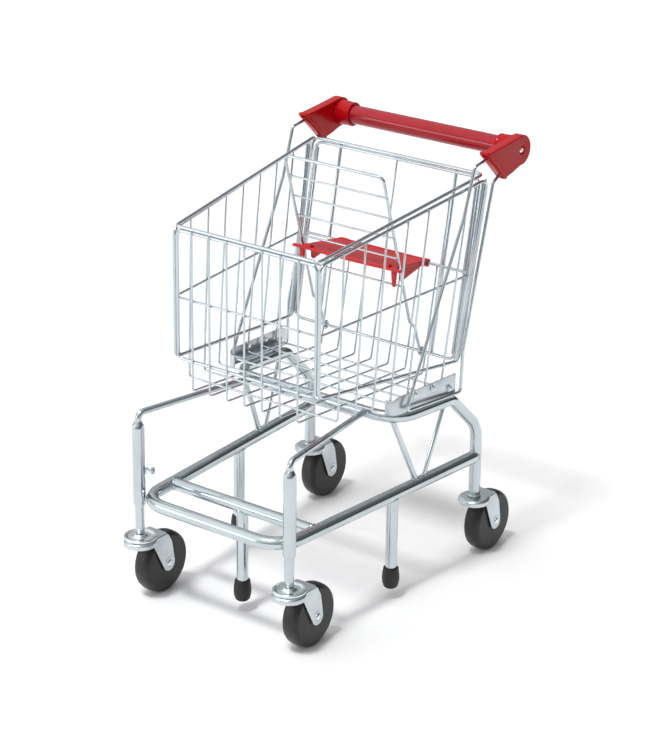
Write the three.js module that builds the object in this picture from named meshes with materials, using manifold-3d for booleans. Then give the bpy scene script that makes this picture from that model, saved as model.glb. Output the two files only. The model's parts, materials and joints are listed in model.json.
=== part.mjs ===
// A child's wire shopping cart, in millimetres.
// The origin is on the floor below the middle of the two front swivel posts.
// +Z is up, -Y is the nose of the cart, +Y the handle, and +X the right-hand side seen from the handle.
import * as THREE from "three";
import { mergeVertices } from "three/addons/utils/BufferGeometryUtils.js";
import Module from "manifold-3d";

// ---------------------------------------------------------------- fits
const GAP = 0.3; // air between two pieces that are fixed to each other
const RUN = 0.45; // air between two pieces that turn on each other

// ---------------------------------------------------------------- facets
const TUBE_N = 10; // flats round a tube
const WIRE_N = 6; // flats round a frame wire
const MESH_N = 5; // flats round a mesh wire
const WHEEL_N = 26; // flats round a wheel
const ROUND_N = 16; // flats round a small turned piece

// ---------------------------------------------------------------- chassis
const POST_X = 124.7; // swivel posts, from the centre line
const LEG_X = 142.5; // rear legs, from the centre line
const LEG_Y = 388; // from the swivel posts back to the rear legs
const RAIL_Z = 150; // centre of the lower bow
const RAIL_R = 8.8; // lower bow and cross tube
const RAIL_WALL = 1.2;
const BOW_R = 8; // upper bow, whose ends run down as the rear legs
const BOW_WALL = 1.2;
const CORNER_R = 40; // bend of the lower bow round the posts
const CORNER_TURN = 35; // degrees from across to the line through bend centre and post
const SLEEVE_R = 8.3; // upper part of a swivel post
const STEM_R = 6.2; // lower part of a swivel post
const SLEEVE_BOTTOM = 141;
const SLEEVE_TOP = 250;
const CLAMP_Z = 186; // clamp bolts of the posts
const SHOULDER = 7; // swaged cone above the sleeve
const ROD_R = 4.3; // stay rods from the posts to the upper bow
const ROD_Z = 268;
const ROD_END_X = 92;
const CROSS_Y = 60; // cross tube
const PROP_Y = 212; // side props
const PROP_R = 7.8; // props with rubber feet
const PROP_WALL = 1.2;
const FOOT_BOTTOM = 15.5; // the feet hang clear of the floor
const FOOT_HEIGHT = 29;
const FOOT_R = 11.8;
const UPPER_Y = 207; // front run of the upper bow
const UPPER_X = 136;
const UPPER_Z = 259;
const UPPER_BEND = 38;
const LEG_BEND = 30;
const KNEE_Z = 194; // where a rear leg leans forward
const KNEE_Y = 327; // where it meets the level part of the bow
const BRACE_R = 3.9; // thick front brace of each side
const TIE_R = 2.9; // thin rear brace of each side
const BRACE_FOOT_Y = 262;

// ---------------------------------------------------------------- wheels
const WHEEL_D = 86;
const WHEEL_T = 25;
const AXLE_R = 3.5;
const HUB_GAP = 1.2;
const CHEEK_T = 2;
const TOP_GAP = 2; // from the tread up to the fork
const PLATE_T = 2;
const PLATE_R = 22;
const SKIRT = 9; // turned-down edge of the fork plate
const TRAIL_FRONT = 40;
const TRAIL_REAR = 34;
const CUP_R = 21.8; // ball race cup above a front fork
const CUP_H = 7;

// ---------------------------------------------------------------- basket
const RIM_Z = 507; // top of the basket at the nose
const RIM_RISE = 42; // how much higher it is at the back
const RIM_FRONT_X = 116.5; // outer face of the rim wire at the nose, from the centre line
const RIM_REAR_X = 141;
const SIDE_OUT = 4.2; // how far the side panels stand outside the rim at the back
const NOSE_X = 112.2; // side wires of the nose panel, from the centre line
const NOSE_Y = 66.5; // the nose panel stands upright here
const BASKET_LENGTH = 319.5; // along the rim
const TAIL_LEAN = 46; // how far the tail panel leans back
const LOOP_FRONT_Z = 328; // lower wire of the panels at the nose
const LOOP_REAR_Z = 302;
const FLOOR_FRONT_Z = 288.5;
const FLOOR_REAR_Z = 272;
const FLOOR_REAR_Y = 337;
const MID_FRONT_Z = 411; // wire half way up
const MID_REAR_Z = 419.4;
const FRAME_R = 2.1; // wire of the rim and the panel frames
const MESH_R = 1.4; // wire of the mesh
const STOUT_R = 2.4; // two stout uprights of the tail panel
const STOUT_X = 95;
const SINK = 0.8; // how deep crossing wires are welded into each other
const CROSS_RISE = 2 * MESH_R - SINK; // cross wires lie on the long floor wires
const BAYS = 8; // bays between the uprights of the nose and the sides

// ---------------------------------------------------------------- handle
const HANDLE_Y = 452;
const HANDLE_RISE = 63; // handle axis above the basket's rim at the nose
const HANDLE_Z = RIM_Z + HANDLE_RISE;
const HANDLE_R = 13;
const HANDLE_WALL = 1.4;
const HOUSING_R = 20.5; // round end of a housing
const HOUSING_OUT = 156; // outer face of a housing, from the centre line
const HOUSING_IN = 142;
const SCREW_R = 2.2;
const COLLAR_R = 16.2;
const COLLAR_END = 120;
const MOUTH_TOP = [372, HANDLE_Z + 12]; // lip of a housing, y and z
const MOUTH_LOW = [417, HANDLE_Z - 29];
const STAY_R = 2.3; // wire of the handle stays
const STAY_X = 146.6;
const STAY_NOSE_Y = 214;
const STAY_TAIL_Y = 339;
const STAY_NOSE_Z = 271.5;
const STAY_TAIL_Z = 260.2;

// ---------------------------------------------------------------- doll seat
const REST_X = 80.3; // legs of the backrest
const REST_TOP_Z = 566;
const REST_TOP_Y = 245.5;
const REST_R = 2.1;
const REST_RUNGS = [536.6, 506.8, 477.8, 447, 405]; // heights of the backrest's cross wires
const SEAT_T = 4;
const SEAT_HALF = 73;
const SEAT_FRONT_Y = 276;
const SEAT_FRONT_Z = 435;
const BARREL_R = 5.6;
const BARREL_L = 11;

const wasm = await Module();
wasm.setup();

// ---------------------------------------------------------------- points and lines
const v = (x, y, z) => new THREE.Vector3(x, y, z);
const lerp = (a, b, t) => a + (b - a) * t;
const mirror = (p, side) => v(p.x * side, p.y, p.z);

// Regular polygon of n corners round a circle, with flats at least r away when it is a bore.
function ring(n, r, bore = false) {
  const out = bore ? r / Math.cos(Math.PI / n) : r;
  const corner = (i) => {
    const a = ((i + 0.5) / n) * 2 * Math.PI;
    return new THREE.Vector2(out * Math.cos(a), out * Math.sin(a));
  };
  return Array.from({ length: n }, (_, i) => corner(i));
}

// A wire or tube centre line: straight runs between corners, each corner bent round an arc.
class BentLine extends THREE.Curve {
  constructor(corners, radius, { closed = false, arcSteps = 3, normal = null } = {}) {
    super();
    this.normal = normal;
    this.stations = [];
    const n = corners.length;
    for (let i = 0; i < n; i += 1) {
      const end = !closed && (i === 0 || i === n - 1);
      if (end) this.addEnd(corners, i);
      else this.addArc(corners[(i + n - 1) % n], corners[i], corners[(i + 1) % n], radius, arcSteps);
    }
    if (closed) this.stations.push(this.stations[0]);
  }
  addEnd(corners, i) {
    const first = i === 0;
    const from = first ? corners[0] : corners[i - 1];
    const to = first ? corners[1] : corners[i];
    this.stations.push({ at: corners[i].clone(), along: to.clone().sub(from).normalize() });
  }
  addArc(before, corner, after, radius, arcSteps) {
    const din = corner.clone().sub(before).normalize();
    const dout = after.clone().sub(corner).normalize();
    const turn = din.angleTo(dout);
    if (turn < 1e-3) {
      this.stations.push({ at: corner.clone(), along: din });
      return;
    }
    const back = radius * Math.tan(turn / 2);
    const axis = din.clone().cross(dout).normalize();
    const start = corner.clone().addScaledVector(din, -back);
    const inward = axis.clone().cross(din);
    const centre = start.clone().addScaledVector(inward, radius);
    for (let k = 0; k <= arcSteps; k += 1) {
      const a = (turn * k) / arcSteps;
      const arm = start.clone().sub(centre).applyAxisAngle(axis, a);
      this.stations.push({ at: centre.clone().add(arm), along: din.clone().applyAxisAngle(axis, a) });
    }
  }
  getSpacedPoints() {
    return this.stations.map((s) => s.at);
  }
  computeFrenetFrames() {
    const tangents = this.stations.map((s) => s.along);
    const square = (n, t) => n.clone().addScaledVector(t, -n.dot(t)).normalize();
    const first = Math.abs(tangents[0].z) < 0.9 ? v(0, 0, 1) : v(1, 0, 0);
    let last = square(this.normal ?? first, tangents[0]);
    const normals = tangents.map((t) => {
      last = square(this.normal ?? last, t);
      return last;
    });
    const binormals = tangents.map((t, i) => t.clone().cross(normals[i]));
    return { tangents, normals, binormals };
  }
}

// ---------------------------------------------------------------- solids
function plain(geometry) {
  const soup = geometry.index ? geometry.toNonIndexed() : geometry;
  return new THREE.BufferGeometry().setAttribute("position", soup.getAttribute("position").clone());
}

function solid(geometry) {
  const merged = mergeVertices(plain(geometry), 1e-4);
  return new wasm.Manifold(
    new wasm.Mesh({
      numProp: 3,
      vertProperties: new Float32Array(merged.attributes.position.array),
      triVerts: new Uint32Array(merged.index.array),
    }),
  );
}

function geometryOf(body) {
  const mesh = body.getMesh();
  const geometry = new THREE.BufferGeometry();
  geometry.setAttribute("position", new THREE.BufferAttribute(mesh.vertProperties, 3));
  geometry.setIndex(new THREE.BufferAttribute(mesh.triVerts, 1));
  const flat = geometry.toNonIndexed();
  flat.computeVertexNormals();
  return flat;
}

const weld = (bodies) => bodies.reduce((a, b) => a.add(b));
const cut = (body, tools) => tools.reduce((a, b) => a.subtract(b), body);

// Only the walls of an extrusion, for a ring that closes on itself.
function wallsOf(geometry) {
  const walls = geometry.groups[1];
  const all = geometry.getAttribute("position").array;
  const part = all.slice(walls.start * 3, (walls.start + walls.count) * 3);
  return new THREE.BufferGeometry().setAttribute("position", new THREE.BufferAttribute(part, 3));
}

// A round bar along a bent line; a wall thickness makes it a tube.
function bar(line, r, sides, wall = 0) {
  const shape = new THREE.Shape(ring(sides, r));
  if (wall) shape.holes.push(new THREE.Path(ring(sides, r - wall)));
  const steps = line.stations.length - 1;
  return solid(new THREE.ExtrudeGeometry(shape, { steps, extrudePath: line }));
}

function loopBar(line, r, sides) {
  const shape = new THREE.Shape(ring(sides, r));
  const steps = line.stations.length - 1;
  return solid(wallsOf(new THREE.ExtrudeGeometry(shape, { steps, extrudePath: line })));
}

const straight = (a, b, r, sides, wall = 0) => bar(new BentLine([a, b], 1), r, sides, wall);

// A turned piece; its profile is [radius, height] pairs, and it stands along +Z at a point.
function turned(profile, sides, at = v(0, 0, 0)) {
  const points = profile.map(([r, z]) => new THREE.Vector2(r, z));
  const lathe = new THREE.LatheGeometry(points, sides);
  lathe.rotateX(Math.PI / 2);
  lathe.translate(at.x, at.y, at.z);
  return outward(lathe);
}

// The same, turned round an axis along +X or any other direction.
function turnedAlong(profile, sides, at, direction) {
  const points = profile.map(([r, z]) => new THREE.Vector2(r, z));
  const lathe = new THREE.LatheGeometry(points, sides);
  const turn = new THREE.Quaternion().setFromUnitVectors(v(0, 1, 0), direction.clone().normalize());
  lathe.applyQuaternion(turn);
  lathe.translate(at.x, at.y, at.z);
  return outward(lathe);
}

function outward(geometry) {
  const body = solid(geometry);
  if (body.volume() > 0) return body;
  const soup = plain(geometry);
  const a = soup.getAttribute("position").array;
  for (let i = 0; i < a.length; i += 9)
    for (let k = 0; k < 3; k += 1) [a[i + k], a[i + 6 + k]] = [a[i + 6 + k], a[i + k]];
  return solid(soup);
}

// A plate whose outline lies in the YZ plane, standing from x0 to x1.
function slab(outline, x0, x1, holes = []) {
  const shape = new THREE.Shape(outline.map(([y, z]) => new THREE.Vector2(y, z)));
  holes.forEach((h) => shape.holes.push(new THREE.Path(h)));
  const geometry = new THREE.ExtrudeGeometry(shape, { depth: Math.abs(x1 - x0), bevelEnabled: false });
  geometry.applyMatrix4(new THREE.Matrix4().makeBasis(v(0, 1, 0), v(0, 0, 1), v(1, 0, 0)));
  geometry.translate(Math.min(x0, x1), 0, 0);
  return outward(geometry);
}

// A plate whose outline lies in the XY plane, standing from z0 to z1.
function tile(outline, z0, z1) {
  const shape = new THREE.Shape(outline.map(([x, y]) => new THREE.Vector2(x, y)));
  const geometry = new THREE.ExtrudeGeometry(shape, { depth: z1 - z0, bevelEnabled: false });
  geometry.translate(0, 0, z0);
  return outward(geometry);
}

function block(x0, x1, y0, y1, z0, z1) {
  const geometry = new THREE.BoxGeometry(Math.abs(x1 - x0), y1 - y0, z1 - z0);
  geometry.translate((x0 + x1) / 2, (y0 + y1) / 2, (z0 + z1) / 2);
  return solid(geometry);
}

// ---------------------------------------------------------------- chassis lines
const axleZ = WHEEL_D / 2;
const forkTop = WHEEL_D + TOP_GAP + PLATE_T;
const reach = CORNER_R + SLEEVE_R + RAIL_R + 2 * GAP;
const cornerTurn = (CORNER_TURN * Math.PI) / 180;
const bendCentre = { x: POST_X - reach * Math.cos(cornerTurn), y: reach * Math.sin(cornerTurn) };
const noseY = bendCentre.y - CORNER_R;
const splay = (LEG_X - (bendCentre.x + CORNER_R)) / (LEG_Y - noseY);
const noseX = bendCentre.x + CORNER_R - CORNER_R * splay;
const railX = (y) => lerp(noseX, LEG_X, (y - noseY) / (LEG_Y - noseY));

const lowerBowLine = new BentLine(
  [
    v(-LEG_X, LEG_Y, RAIL_Z),
    v(-noseX, noseY, RAIL_Z),
    v(noseX, noseY, RAIL_Z),
    v(LEG_X, LEG_Y, RAIL_Z),
  ],
  CORNER_R,
  { arcSteps: 4, normal: v(0, 0, 1) },
);

const bedSlope = (FLOOR_REAR_Z - FLOOR_FRONT_Z) / (FLOOR_REAR_Y - NOSE_Y);
const bedZ = (y) => UPPER_Z + bedSlope * (y - UPPER_Y);
const upperX = (y) => lerp(UPPER_X, LEG_X, (y - UPPER_Y) / (LEG_Y - UPPER_Y));

function upperBowLine() {
  const half = (side) => [
    v(side * LEG_X, LEG_Y, forkTop + GAP),
    v(side * LEG_X, LEG_Y, KNEE_Z),
    v(side * upperX(KNEE_Y), KNEE_Y, bedZ(KNEE_Y)),
    v(side * UPPER_X, UPPER_Y, UPPER_Z),
  ];
  const corners = [...half(1), ...half(-1).reverse()];
  const line = new BentLine(corners, LEG_BEND, { arcSteps: 4 });
  const tight = new BentLine(corners, UPPER_BEND, { arcSteps: 4 });
  const per = 5; // stations of one bend
  line.stations = [
    ...line.stations.slice(0, 1 + 2 * per),
    ...tight.stations.slice(1 + 2 * per, 1 + 4 * per),
    ...line.stations.slice(1 + 4 * per),
  ];
  return line;
}

const upperLine = upperBowLine();
const lowerBowRound = bar(lowerBowLine, RAIL_R + GAP, TUBE_N);
const upperBowRound = bar(upperLine, BOW_R + GAP, TUBE_N);

function crossTubeRound(r, wall = 0) {
  const x = railX(CROSS_Y);
  return straight(v(-x, CROSS_Y, RAIL_Z), v(x, CROSS_Y, RAIL_Z), r, TUBE_N, wall);
}

// ---------------------------------------------------------------- chassis pieces
const lowerBow = () => cut(bar(lowerBowLine, RAIL_R, TUBE_N, RAIL_WALL), [upperBowRound]);
const upperBow = () => bar(upperLine, BOW_R, TUBE_N, BOW_WALL);
const crossTube = () => cut(crossTubeRound(RAIL_R - 0.4, RAIL_WALL), [lowerBowRound]);

// A prop is a tube standing in a rubber foot; it ends in a saddle against the tube above.
function prop(x, y, above) {
  const foot = v(x, y, FOOT_BOTTOM + FOOT_HEIGHT * 0.35 + GAP);
  return cut(straight(foot, v(x, y, RAIL_Z), PROP_R, TUBE_N, PROP_WALL), above);
}

function rubberFoot(x, y) {
  const top = FOOT_HEIGHT;
  const bore = (PROP_R + GAP) / Math.cos(Math.PI / ROUND_N);
  const profile = [
    [0, 0],
    [FOOT_R * 0.68, 0],
    [FOOT_R * 0.88, top * 0.12],
    [FOOT_R, top * 0.45],
    [FOOT_R * 0.97, top * 0.7],
    [FOOT_R * 0.85, top],
    [bore, top],
    [bore, top * 0.35],
    [0, top * 0.35],
  ];
  return turned(profile, ROUND_N, v(x, y, FOOT_BOTTOM));
}

// A swivel post: stem, sleeve and the swaged shoulder the stay rod stands in.
function frontPost(side) {
  const foot = forkTop + CUP_H + 2 * GAP;
  const hole = (ROD_R + GAP) / Math.cos(Math.PI / ROUND_N);
  const profile = [
    [0, foot],
    [STEM_R, foot],
    [STEM_R, SLEEVE_BOTTOM - 2],
    [SLEEVE_R, SLEEVE_BOTTOM + 2],
    [SLEEVE_R, SLEEVE_TOP],
    [hole + 1, SLEEVE_TOP + SHOULDER],
    [hole, SLEEVE_TOP + SHOULDER],
    [hole, SLEEVE_TOP - 12],
    [0, SLEEVE_TOP - 12],
  ];
  return turned(profile, ROUND_N, v(side * POST_X, 0, 0));
}

function stayRod(side) {
  const line = new BentLine(
    [
      v(side * POST_X, 0, SLEEVE_TOP - 12 + GAP),
      v(side * POST_X, 0, ROD_Z),
      v(side * ROD_END_X, UPPER_Y, bedZ(UPPER_Y) + ROD_R + 1.5),
    ],
    9,
    { arcSteps: 3 },
  );
  return cut(bar(line, ROD_R, TUBE_N), [upperBowRound]);
}

const brace = (side) => cut(braceRound(side, BRACE_R), [lowerBowRound, upperBowRound]);

function tie(side) {
  const y = KNEE_Y - 14;
  const foot = v(side * railX(BRACE_FOOT_Y + 11), BRACE_FOOT_Y + 11, RAIL_Z);
  const head = v(side * upperX(y), y, bedZ(y));
  return cut(straight(foot, head, TIE_R, 6), [lowerBowRound, upperBowRound, braceRound(side)]);
}

function braceRound(side, r = BRACE_R + GAP) {
  const foot = v(side * railX(BRACE_FOOT_Y), BRACE_FOOT_Y, RAIL_Z);
  const head = v(side * (UPPER_X - 12), UPPER_Y + 6, UPPER_Z);
  return straight(foot, head, r, 8);
}

// ---------------------------------------------------------------- brackets
const BRACKET_T = 1.6;
const BRACKET_H = 29;
const BRACKET_FRONT = UPPER_Y - 4;
const BRACKET_REAR = STAY_TAIL_Y - STAY_R - 6;
const FLANGE_IN = 17;
const BOLT_R = 2;
const BOLT_AT = [0.3, 0.6, 0.89];
const BOLT_UP = [0.72, 0.72, 0.4];
const webRun = (y) => (y - UPPER_Y) / (STAY_TAIL_Y - UPPER_Y);
const webX = (y) => lerp(STAY_X - STAY_R - 4.5, STAY_X - STAY_R - GAP, webRun(y));
const webFoot = (y) => bedZ(y) + BOW_R + GAP;

function bolts(side) {
  return BOLT_AT.map((t, i) => {
    const y = lerp(BRACKET_FRONT, BRACKET_REAR, t);
    return v(side * webX(y), y, webFoot(y) + BRACKET_H * BOLT_UP[i]);
  });
}

// Sheet-metal bracket: a standing web with a flange under the basket floor and a turned-in nose.
function bracket(side) {
  const yA = BRACKET_FRONT;
  const yB = BRACKET_REAR;
  const plan = [
    [webX(yA) - 13, yA - 7],
    [webX(yA) - 5, yA - 5],
    [webX(yA), yA + 2],
    [webX(yB), yB],
    [webX(yB) - BRACKET_T, yB],
    [webX(yA) - BRACKET_T, yA + 2.6],
    [webX(yA) - 5.8, yA - 3.4],
    [webX(yA) - 13, yA - 5.3],
  ];
  const web = tile(plan, 0, BRACKET_H);
  const ledge = floorZ(yA) + CROSS_RISE - MESH_R - GAP - webFoot(yA) - BRACKET_T;
  const flangeEnd = bolts(1)[2].y - 6;
  const flangePlan = [
    [webX(yA + 14) - 0.5, yA + 14],
    [webX(flangeEnd) - 0.5, flangeEnd],
    [webX(flangeEnd) - FLANGE_IN, flangeEnd],
    [webX(yA + 14) - FLANGE_IN, yA + 14],
  ];
  const flange = tile(flangePlan, ledge, ledge + BRACKET_T);
  const sheared = shear(web.add(flange), bedSlope, yA, webFoot(yA));
  const drilled = cut(sheared, bolts(1).map((p) => boltHole(p)));
  return side > 0 ? drilled : drilled.scale([-1, 1, 1]);
}

// Lifts a body drawn on the level so that it follows the slope of the bed.
function shear(body, slope, y0, z0) {
  const geometry = geometryOf(body);
  const tilt = new THREE.Matrix4().set(1, 0, 0, 0, 0, 1, 0, 0, 0, slope, 1, z0 - slope * y0, 0, 0, 0, 1);
  geometry.applyMatrix4(tilt);
  return solid(geometry);
}

function boltHole(p) {
  const reachOut = v(8, 0, 0);
  const r = (BOLT_R + GAP) / Math.cos(Math.PI / 8);
  return straight(p.clone().sub(reachOut), p.clone().add(reachOut), r, 8);
}

// A bolt through the web, with a flat head outside and a nut inside.
function bracketBolt(side, i) {
  const p = bolts(side)[i];
  const inner = -BRACKET_T - GAP;
  const profile = [
    [0, inner - 3.4],
    [BOLT_R, inner - 3.2],
    [3.2, inner - 2],
    [3.2, inner],
    [BOLT_R, inner],
    [BOLT_R, GAP],
    [3.2, GAP],
    [2.7, GAP + 1.5],
    [0, GAP + 1.8],
  ];
  return turnedAlong(profile, 8, p, v(side, 0, 0));
}

// A clamp bolt and nut on the inner rear of each post.
function clampBolt(side) {
  const direction = v(-side * 0.7, 0.7, 0).normalize();
  const start = v(side * POST_X, 0, CLAMP_Z).addScaledVector(direction, SLEEVE_R + GAP);
  const profile = [
    [0, 0],
    [4.4, 0],
    [4.4, 4.5],
    [2.4, 5.2],
    [2.4, 7],
    [3.7, 7],
    [3.7, 11],
    [2.2, 12.4],
    [0, 12.4],
  ];
  return turnedAlong(profile, 6, start, direction);
}

// ---------------------------------------------------------------- casters
const cheekIn = WHEEL_T / 2 + HUB_GAP;
const cheekOut = cheekIn + CHEEK_T;

function cheekOutline(trail) {
  const under = forkTop - SKIRT;
  const r = 11;
  const low = Array.from({ length: 7 }, (_, i) => {
    const a = Math.PI * (1.1 + (0.85 * i) / 6);
    return [trail + r * Math.cos(a), axleZ + r * Math.sin(a)];
  });
  return [
    [-PLATE_R * 0.55, under],
    [trail * 0.36, under],
    ...low,
    [trail + 9, axleZ + 8],
    [trail * 0.98, forkTop - 12],
    [trail * 0.78, forkTop - 2],
    [trail * 0.7, forkTop],
    [-PLATE_R * 0.55, forkTop],
  ];
}

// Pressed-steel fork: round skirted plate, two cheeks and a bridge over the wheel.
function fork(trail, hole) {
  const skirted = turned(
    [
      [0, forkTop - PLATE_T],
      [PLATE_R - CHEEK_T - 1, forkTop - PLATE_T],
      [PLATE_R - CHEEK_T, forkTop - SKIRT],
      [PLATE_R, forkTop - SKIRT],
      [PLATE_R, forkTop - 1.5],
      [PLATE_R - 2.5, forkTop],
      [0, forkTop],
    ],
    ROUND_N,
  );
  const outline = cheekOutline(trail);
  const bridge = slab(outline, -cheekOut, cheekOut);
  const inside = block(-cheekIn, cheekIn, -PLATE_R * 0.8, trail + 60, 0, forkTop - PLATE_T);
  const well = block(-cheekIn, cheekIn, trail * 0.1, trail + 60, 0, forkTop - PLATE_T);
  const walls = cut(bridge, [inside]);
  const body = cut(skirted, [well]).add(walls);
  const bore = (r, a, b) => straight(a, b, r / Math.cos(Math.PI / 12), 12);
  const axleHole = bore(AXLE_R + GAP, v(-30, trail, axleZ), v(30, trail, axleZ));
  const pinHole = bore(hole, v(0, 0, forkTop - 10), v(0, 0, forkTop + 10));
  return cut(body, hole ? [axleHole, pinHole] : [axleHole]);
}

// The axle is a rivet: a pin through both cheeks with a head on each outside.
function axle(at) {
  const half = cheekOut + GAP;
  const head = AXLE_R + 1.6;
  const profile = [
    [0, -half - 1.7],
    [head, -half - 1],
    [head, -half],
    [AXLE_R, -half],
    [AXLE_R, half],
    [head, half],
    [head, half + 1],
    [0, half + 1.7],
  ];
  return turnedAlong(profile, 12, at, v(1, 0, 0));
}

function wheel(at) {
  const bore = (AXLE_R + RUN) / Math.cos(Math.PI / WHEEL_N);
  const half = WHEEL_T / 2;
  const r = WHEEL_D / 2;
  const side = (s) => [
    [bore, s * (half + 0.6)],
    [9, s * (half + 0.6)],
    [r - 9, s * half],
    [r - 2.6, s * (half - 4)],
  ];
  const profile = [...side(-1), [r, 0], ...side(1).reverse(), [bore, -half - 0.6]];
  return turnedAlong(profile, WHEEL_N, at, v(1, 0, 0));
}

// The cup of a front caster: dished ball race, rolled rim and the king pin through the fork.
function cup(side) {
  const low = forkTop + GAP;
  const pin = 4;
  const plateUnder = forkTop - PLATE_T - GAP;
  const profile = [
    [0, plateUnder - 4],
    [pin + 3, plateUnder - 4],
    [pin + 3, plateUnder],
    [pin, plateUnder],
    [pin, low],
    [CUP_R - 2, low],
    [CUP_R, low + 1.2],
    [CUP_R, low + 3],
    [CUP_R - 1.6, low + 4.6],
    [11, low + 3],
    [STEM_R, low + CUP_H],
    [0, low + CUP_H],
  ];
  return turned(profile, ROUND_N + 4, v(side * POST_X, 0, 0));
}

const frontAxle = (side) => v(side * POST_X, TRAIL_FRONT, axleZ);
const rearAxle = (side) => v(side * LEG_X, LEG_Y + TRAIL_REAR, axleZ);
const frontFork = (side) => fork(TRAIL_FRONT, 4 + RUN).translate([side * POST_X, 0, 0]);
const rearFork = (side) => fork(TRAIL_REAR, 0).translate([side * LEG_X, LEG_Y, 0]);

// ---------------------------------------------------------------- basket lines
const rimRearY = NOSE_Y + BASKET_LENGTH;
const tailLowY = rimRearY - TAIL_LEAN;
const STEP_SIDE = 2 * FRAME_R + 2 * GAP; // two frame wires side by side
const WELD = FRAME_R + MESH_R - SINK; // an upright welded on the outside of a frame
const TWIN = 2.05; // pitch of doubled corner wires, in wire radii
const tailY = (z) => lerp(tailLowY, rimRearY, (z - LOOP_REAR_Z) / (RIM_Z + RIM_RISE - LOOP_REAR_Z));
const floorZ = (y) => lerp(FLOOR_FRONT_Z, FLOOR_REAR_Z, (y - NOSE_Y) / (FLOOR_REAR_Y - NOSE_Y));
const bayX = (i) => (i - BAYS / 2) * ((2 * (RIM_FRONT_X - 2)) / BAYS);

// Corners of a side panel, front to back along the top and back along the bottom.
function sideCorners(side) {
  const drop = STEP_SIDE;
  const frontX = NOSE_X + STEP_SIDE;
  const rear = tailY(RIM_Z + RIM_RISE - drop) + FRAME_R;
  return {
    topFront: v(side * frontX, NOSE_Y, RIM_Z - drop),
    topRear: v(side * (RIM_REAR_X + SIDE_OUT), rear, RIM_Z + RIM_RISE - drop),
    lowRear: v(side * (RIM_REAR_X - 1.5), tailLowY + FRAME_R, LOOP_REAR_Z),
    lowFront: v(side * frontX, NOSE_Y, LOOP_FRONT_Z),
  };
}

function basketRim() {
  const x0 = RIM_FRONT_X - FRAME_R;
  const x1 = RIM_REAR_X - FRAME_R;
  const z1 = RIM_Z + RIM_RISE;
  const corners = [
    v(-x0, NOSE_Y, RIM_Z),
    v(x0, NOSE_Y, RIM_Z),
    v(x1, rimRearY, z1),
    v(-x1, rimRearY, z1),
  ];
  return loopBar(new BentLine(corners, 7, { closed: true, normal: v(0, 0, 1) }), FRAME_R, WIRE_N);
}

// A flat frame of wire with rounded corners.
function frameLoop(corners, radius) {
  const a = corners[1].clone().sub(corners[0]);
  const b = corners[2].clone().sub(corners[1]);
  const normal = a.cross(b).normalize();
  return loopBar(new BentLine(corners, radius, { closed: true, arcSteps: 3, normal }), FRAME_R, WIRE_N);
}

function nosePanel() {
  const x = NOSE_X;
  const top = RIM_Z - STEP_SIDE;
  const at = (px, z) => v(px, NOSE_Y, z);
  const frame = frameLoop([at(-x, top), at(x, top), at(x, LOOP_FRONT_Z), at(-x, LOOP_FRONT_Z)], 6);
  const out = v(0, -WELD, 0);
  const uprights = Array.from({ length: BAYS - 1 }, (_, i) => {
    const px = bayX(i + 1);
    const high = at(px, top + FRAME_R * 0.6).add(out);
    const low = at(px, LOOP_FRONT_Z - FRAME_R - 1).add(out);
    return straight(low, high, MESH_R, MESH_N);
  });
  const mid = straight(at(-x, MID_FRONT_Z), at(x, MID_FRONT_Z), MESH_R * 1.15, MESH_N);
  return weld([frame, mid, ...uprights]);
}

function sidePanel(side) {
  const c = sideCorners(side);
  const frame = frameLoop([c.topFront, c.topRear, c.lowRear, c.lowFront], 8);
  const out = v(side * WELD, 0, 0);
  const onTop = (t) => c.topFront.clone().lerp(c.topRear, t);
  const onLow = (t) => c.lowFront.clone().lerp(c.lowRear, t);
  const uprights = Array.from({ length: BAYS - 1 }, (_, i) => {
    const t = (i + 1) / BAYS;
    const way = onTop(t).sub(onLow(t)).normalize();
    const high = onTop(t).addScaledVector(way, FRAME_R * 0.6).add(out);
    const low = onLow(t).addScaledVector(way, -FRAME_R - 1).add(out);
    return straight(low, high, MESH_R, MESH_N);
  });
  const pitch = (TWIN * FRAME_R) / BASKET_LENGTH;
  const twins = [1 - pitch, 1 - 2 * pitch].map((t) => straight(onLow(t), onTop(t), FRAME_R, WIRE_N));
  const front = sideAt(c, 0, MID_FRONT_Z);
  const rear = sideAt(c, 1, MID_REAR_Z);
  const mid = straight(front, rear, MESH_R * 1.15, MESH_N);
  return weld([frame, ...twins, mid, ...uprights]);
}

// A point at height z on the front (0) or rear (1) upright of a side panel.
function sideAt(c, end, z) {
  const low = end ? c.lowRear : c.lowFront;
  const high = end ? c.topRear : c.topFront;
  return low.clone().lerp(high, (z - low.z) / (high.z - low.z));
}

const tailX = RIM_REAR_X - 1.5 - STEP_SIDE;
const tailAt = (px, z) => v(px, tailY(z), z);
const tailTop = RIM_Z + RIM_RISE - STEP_SIDE;

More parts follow.
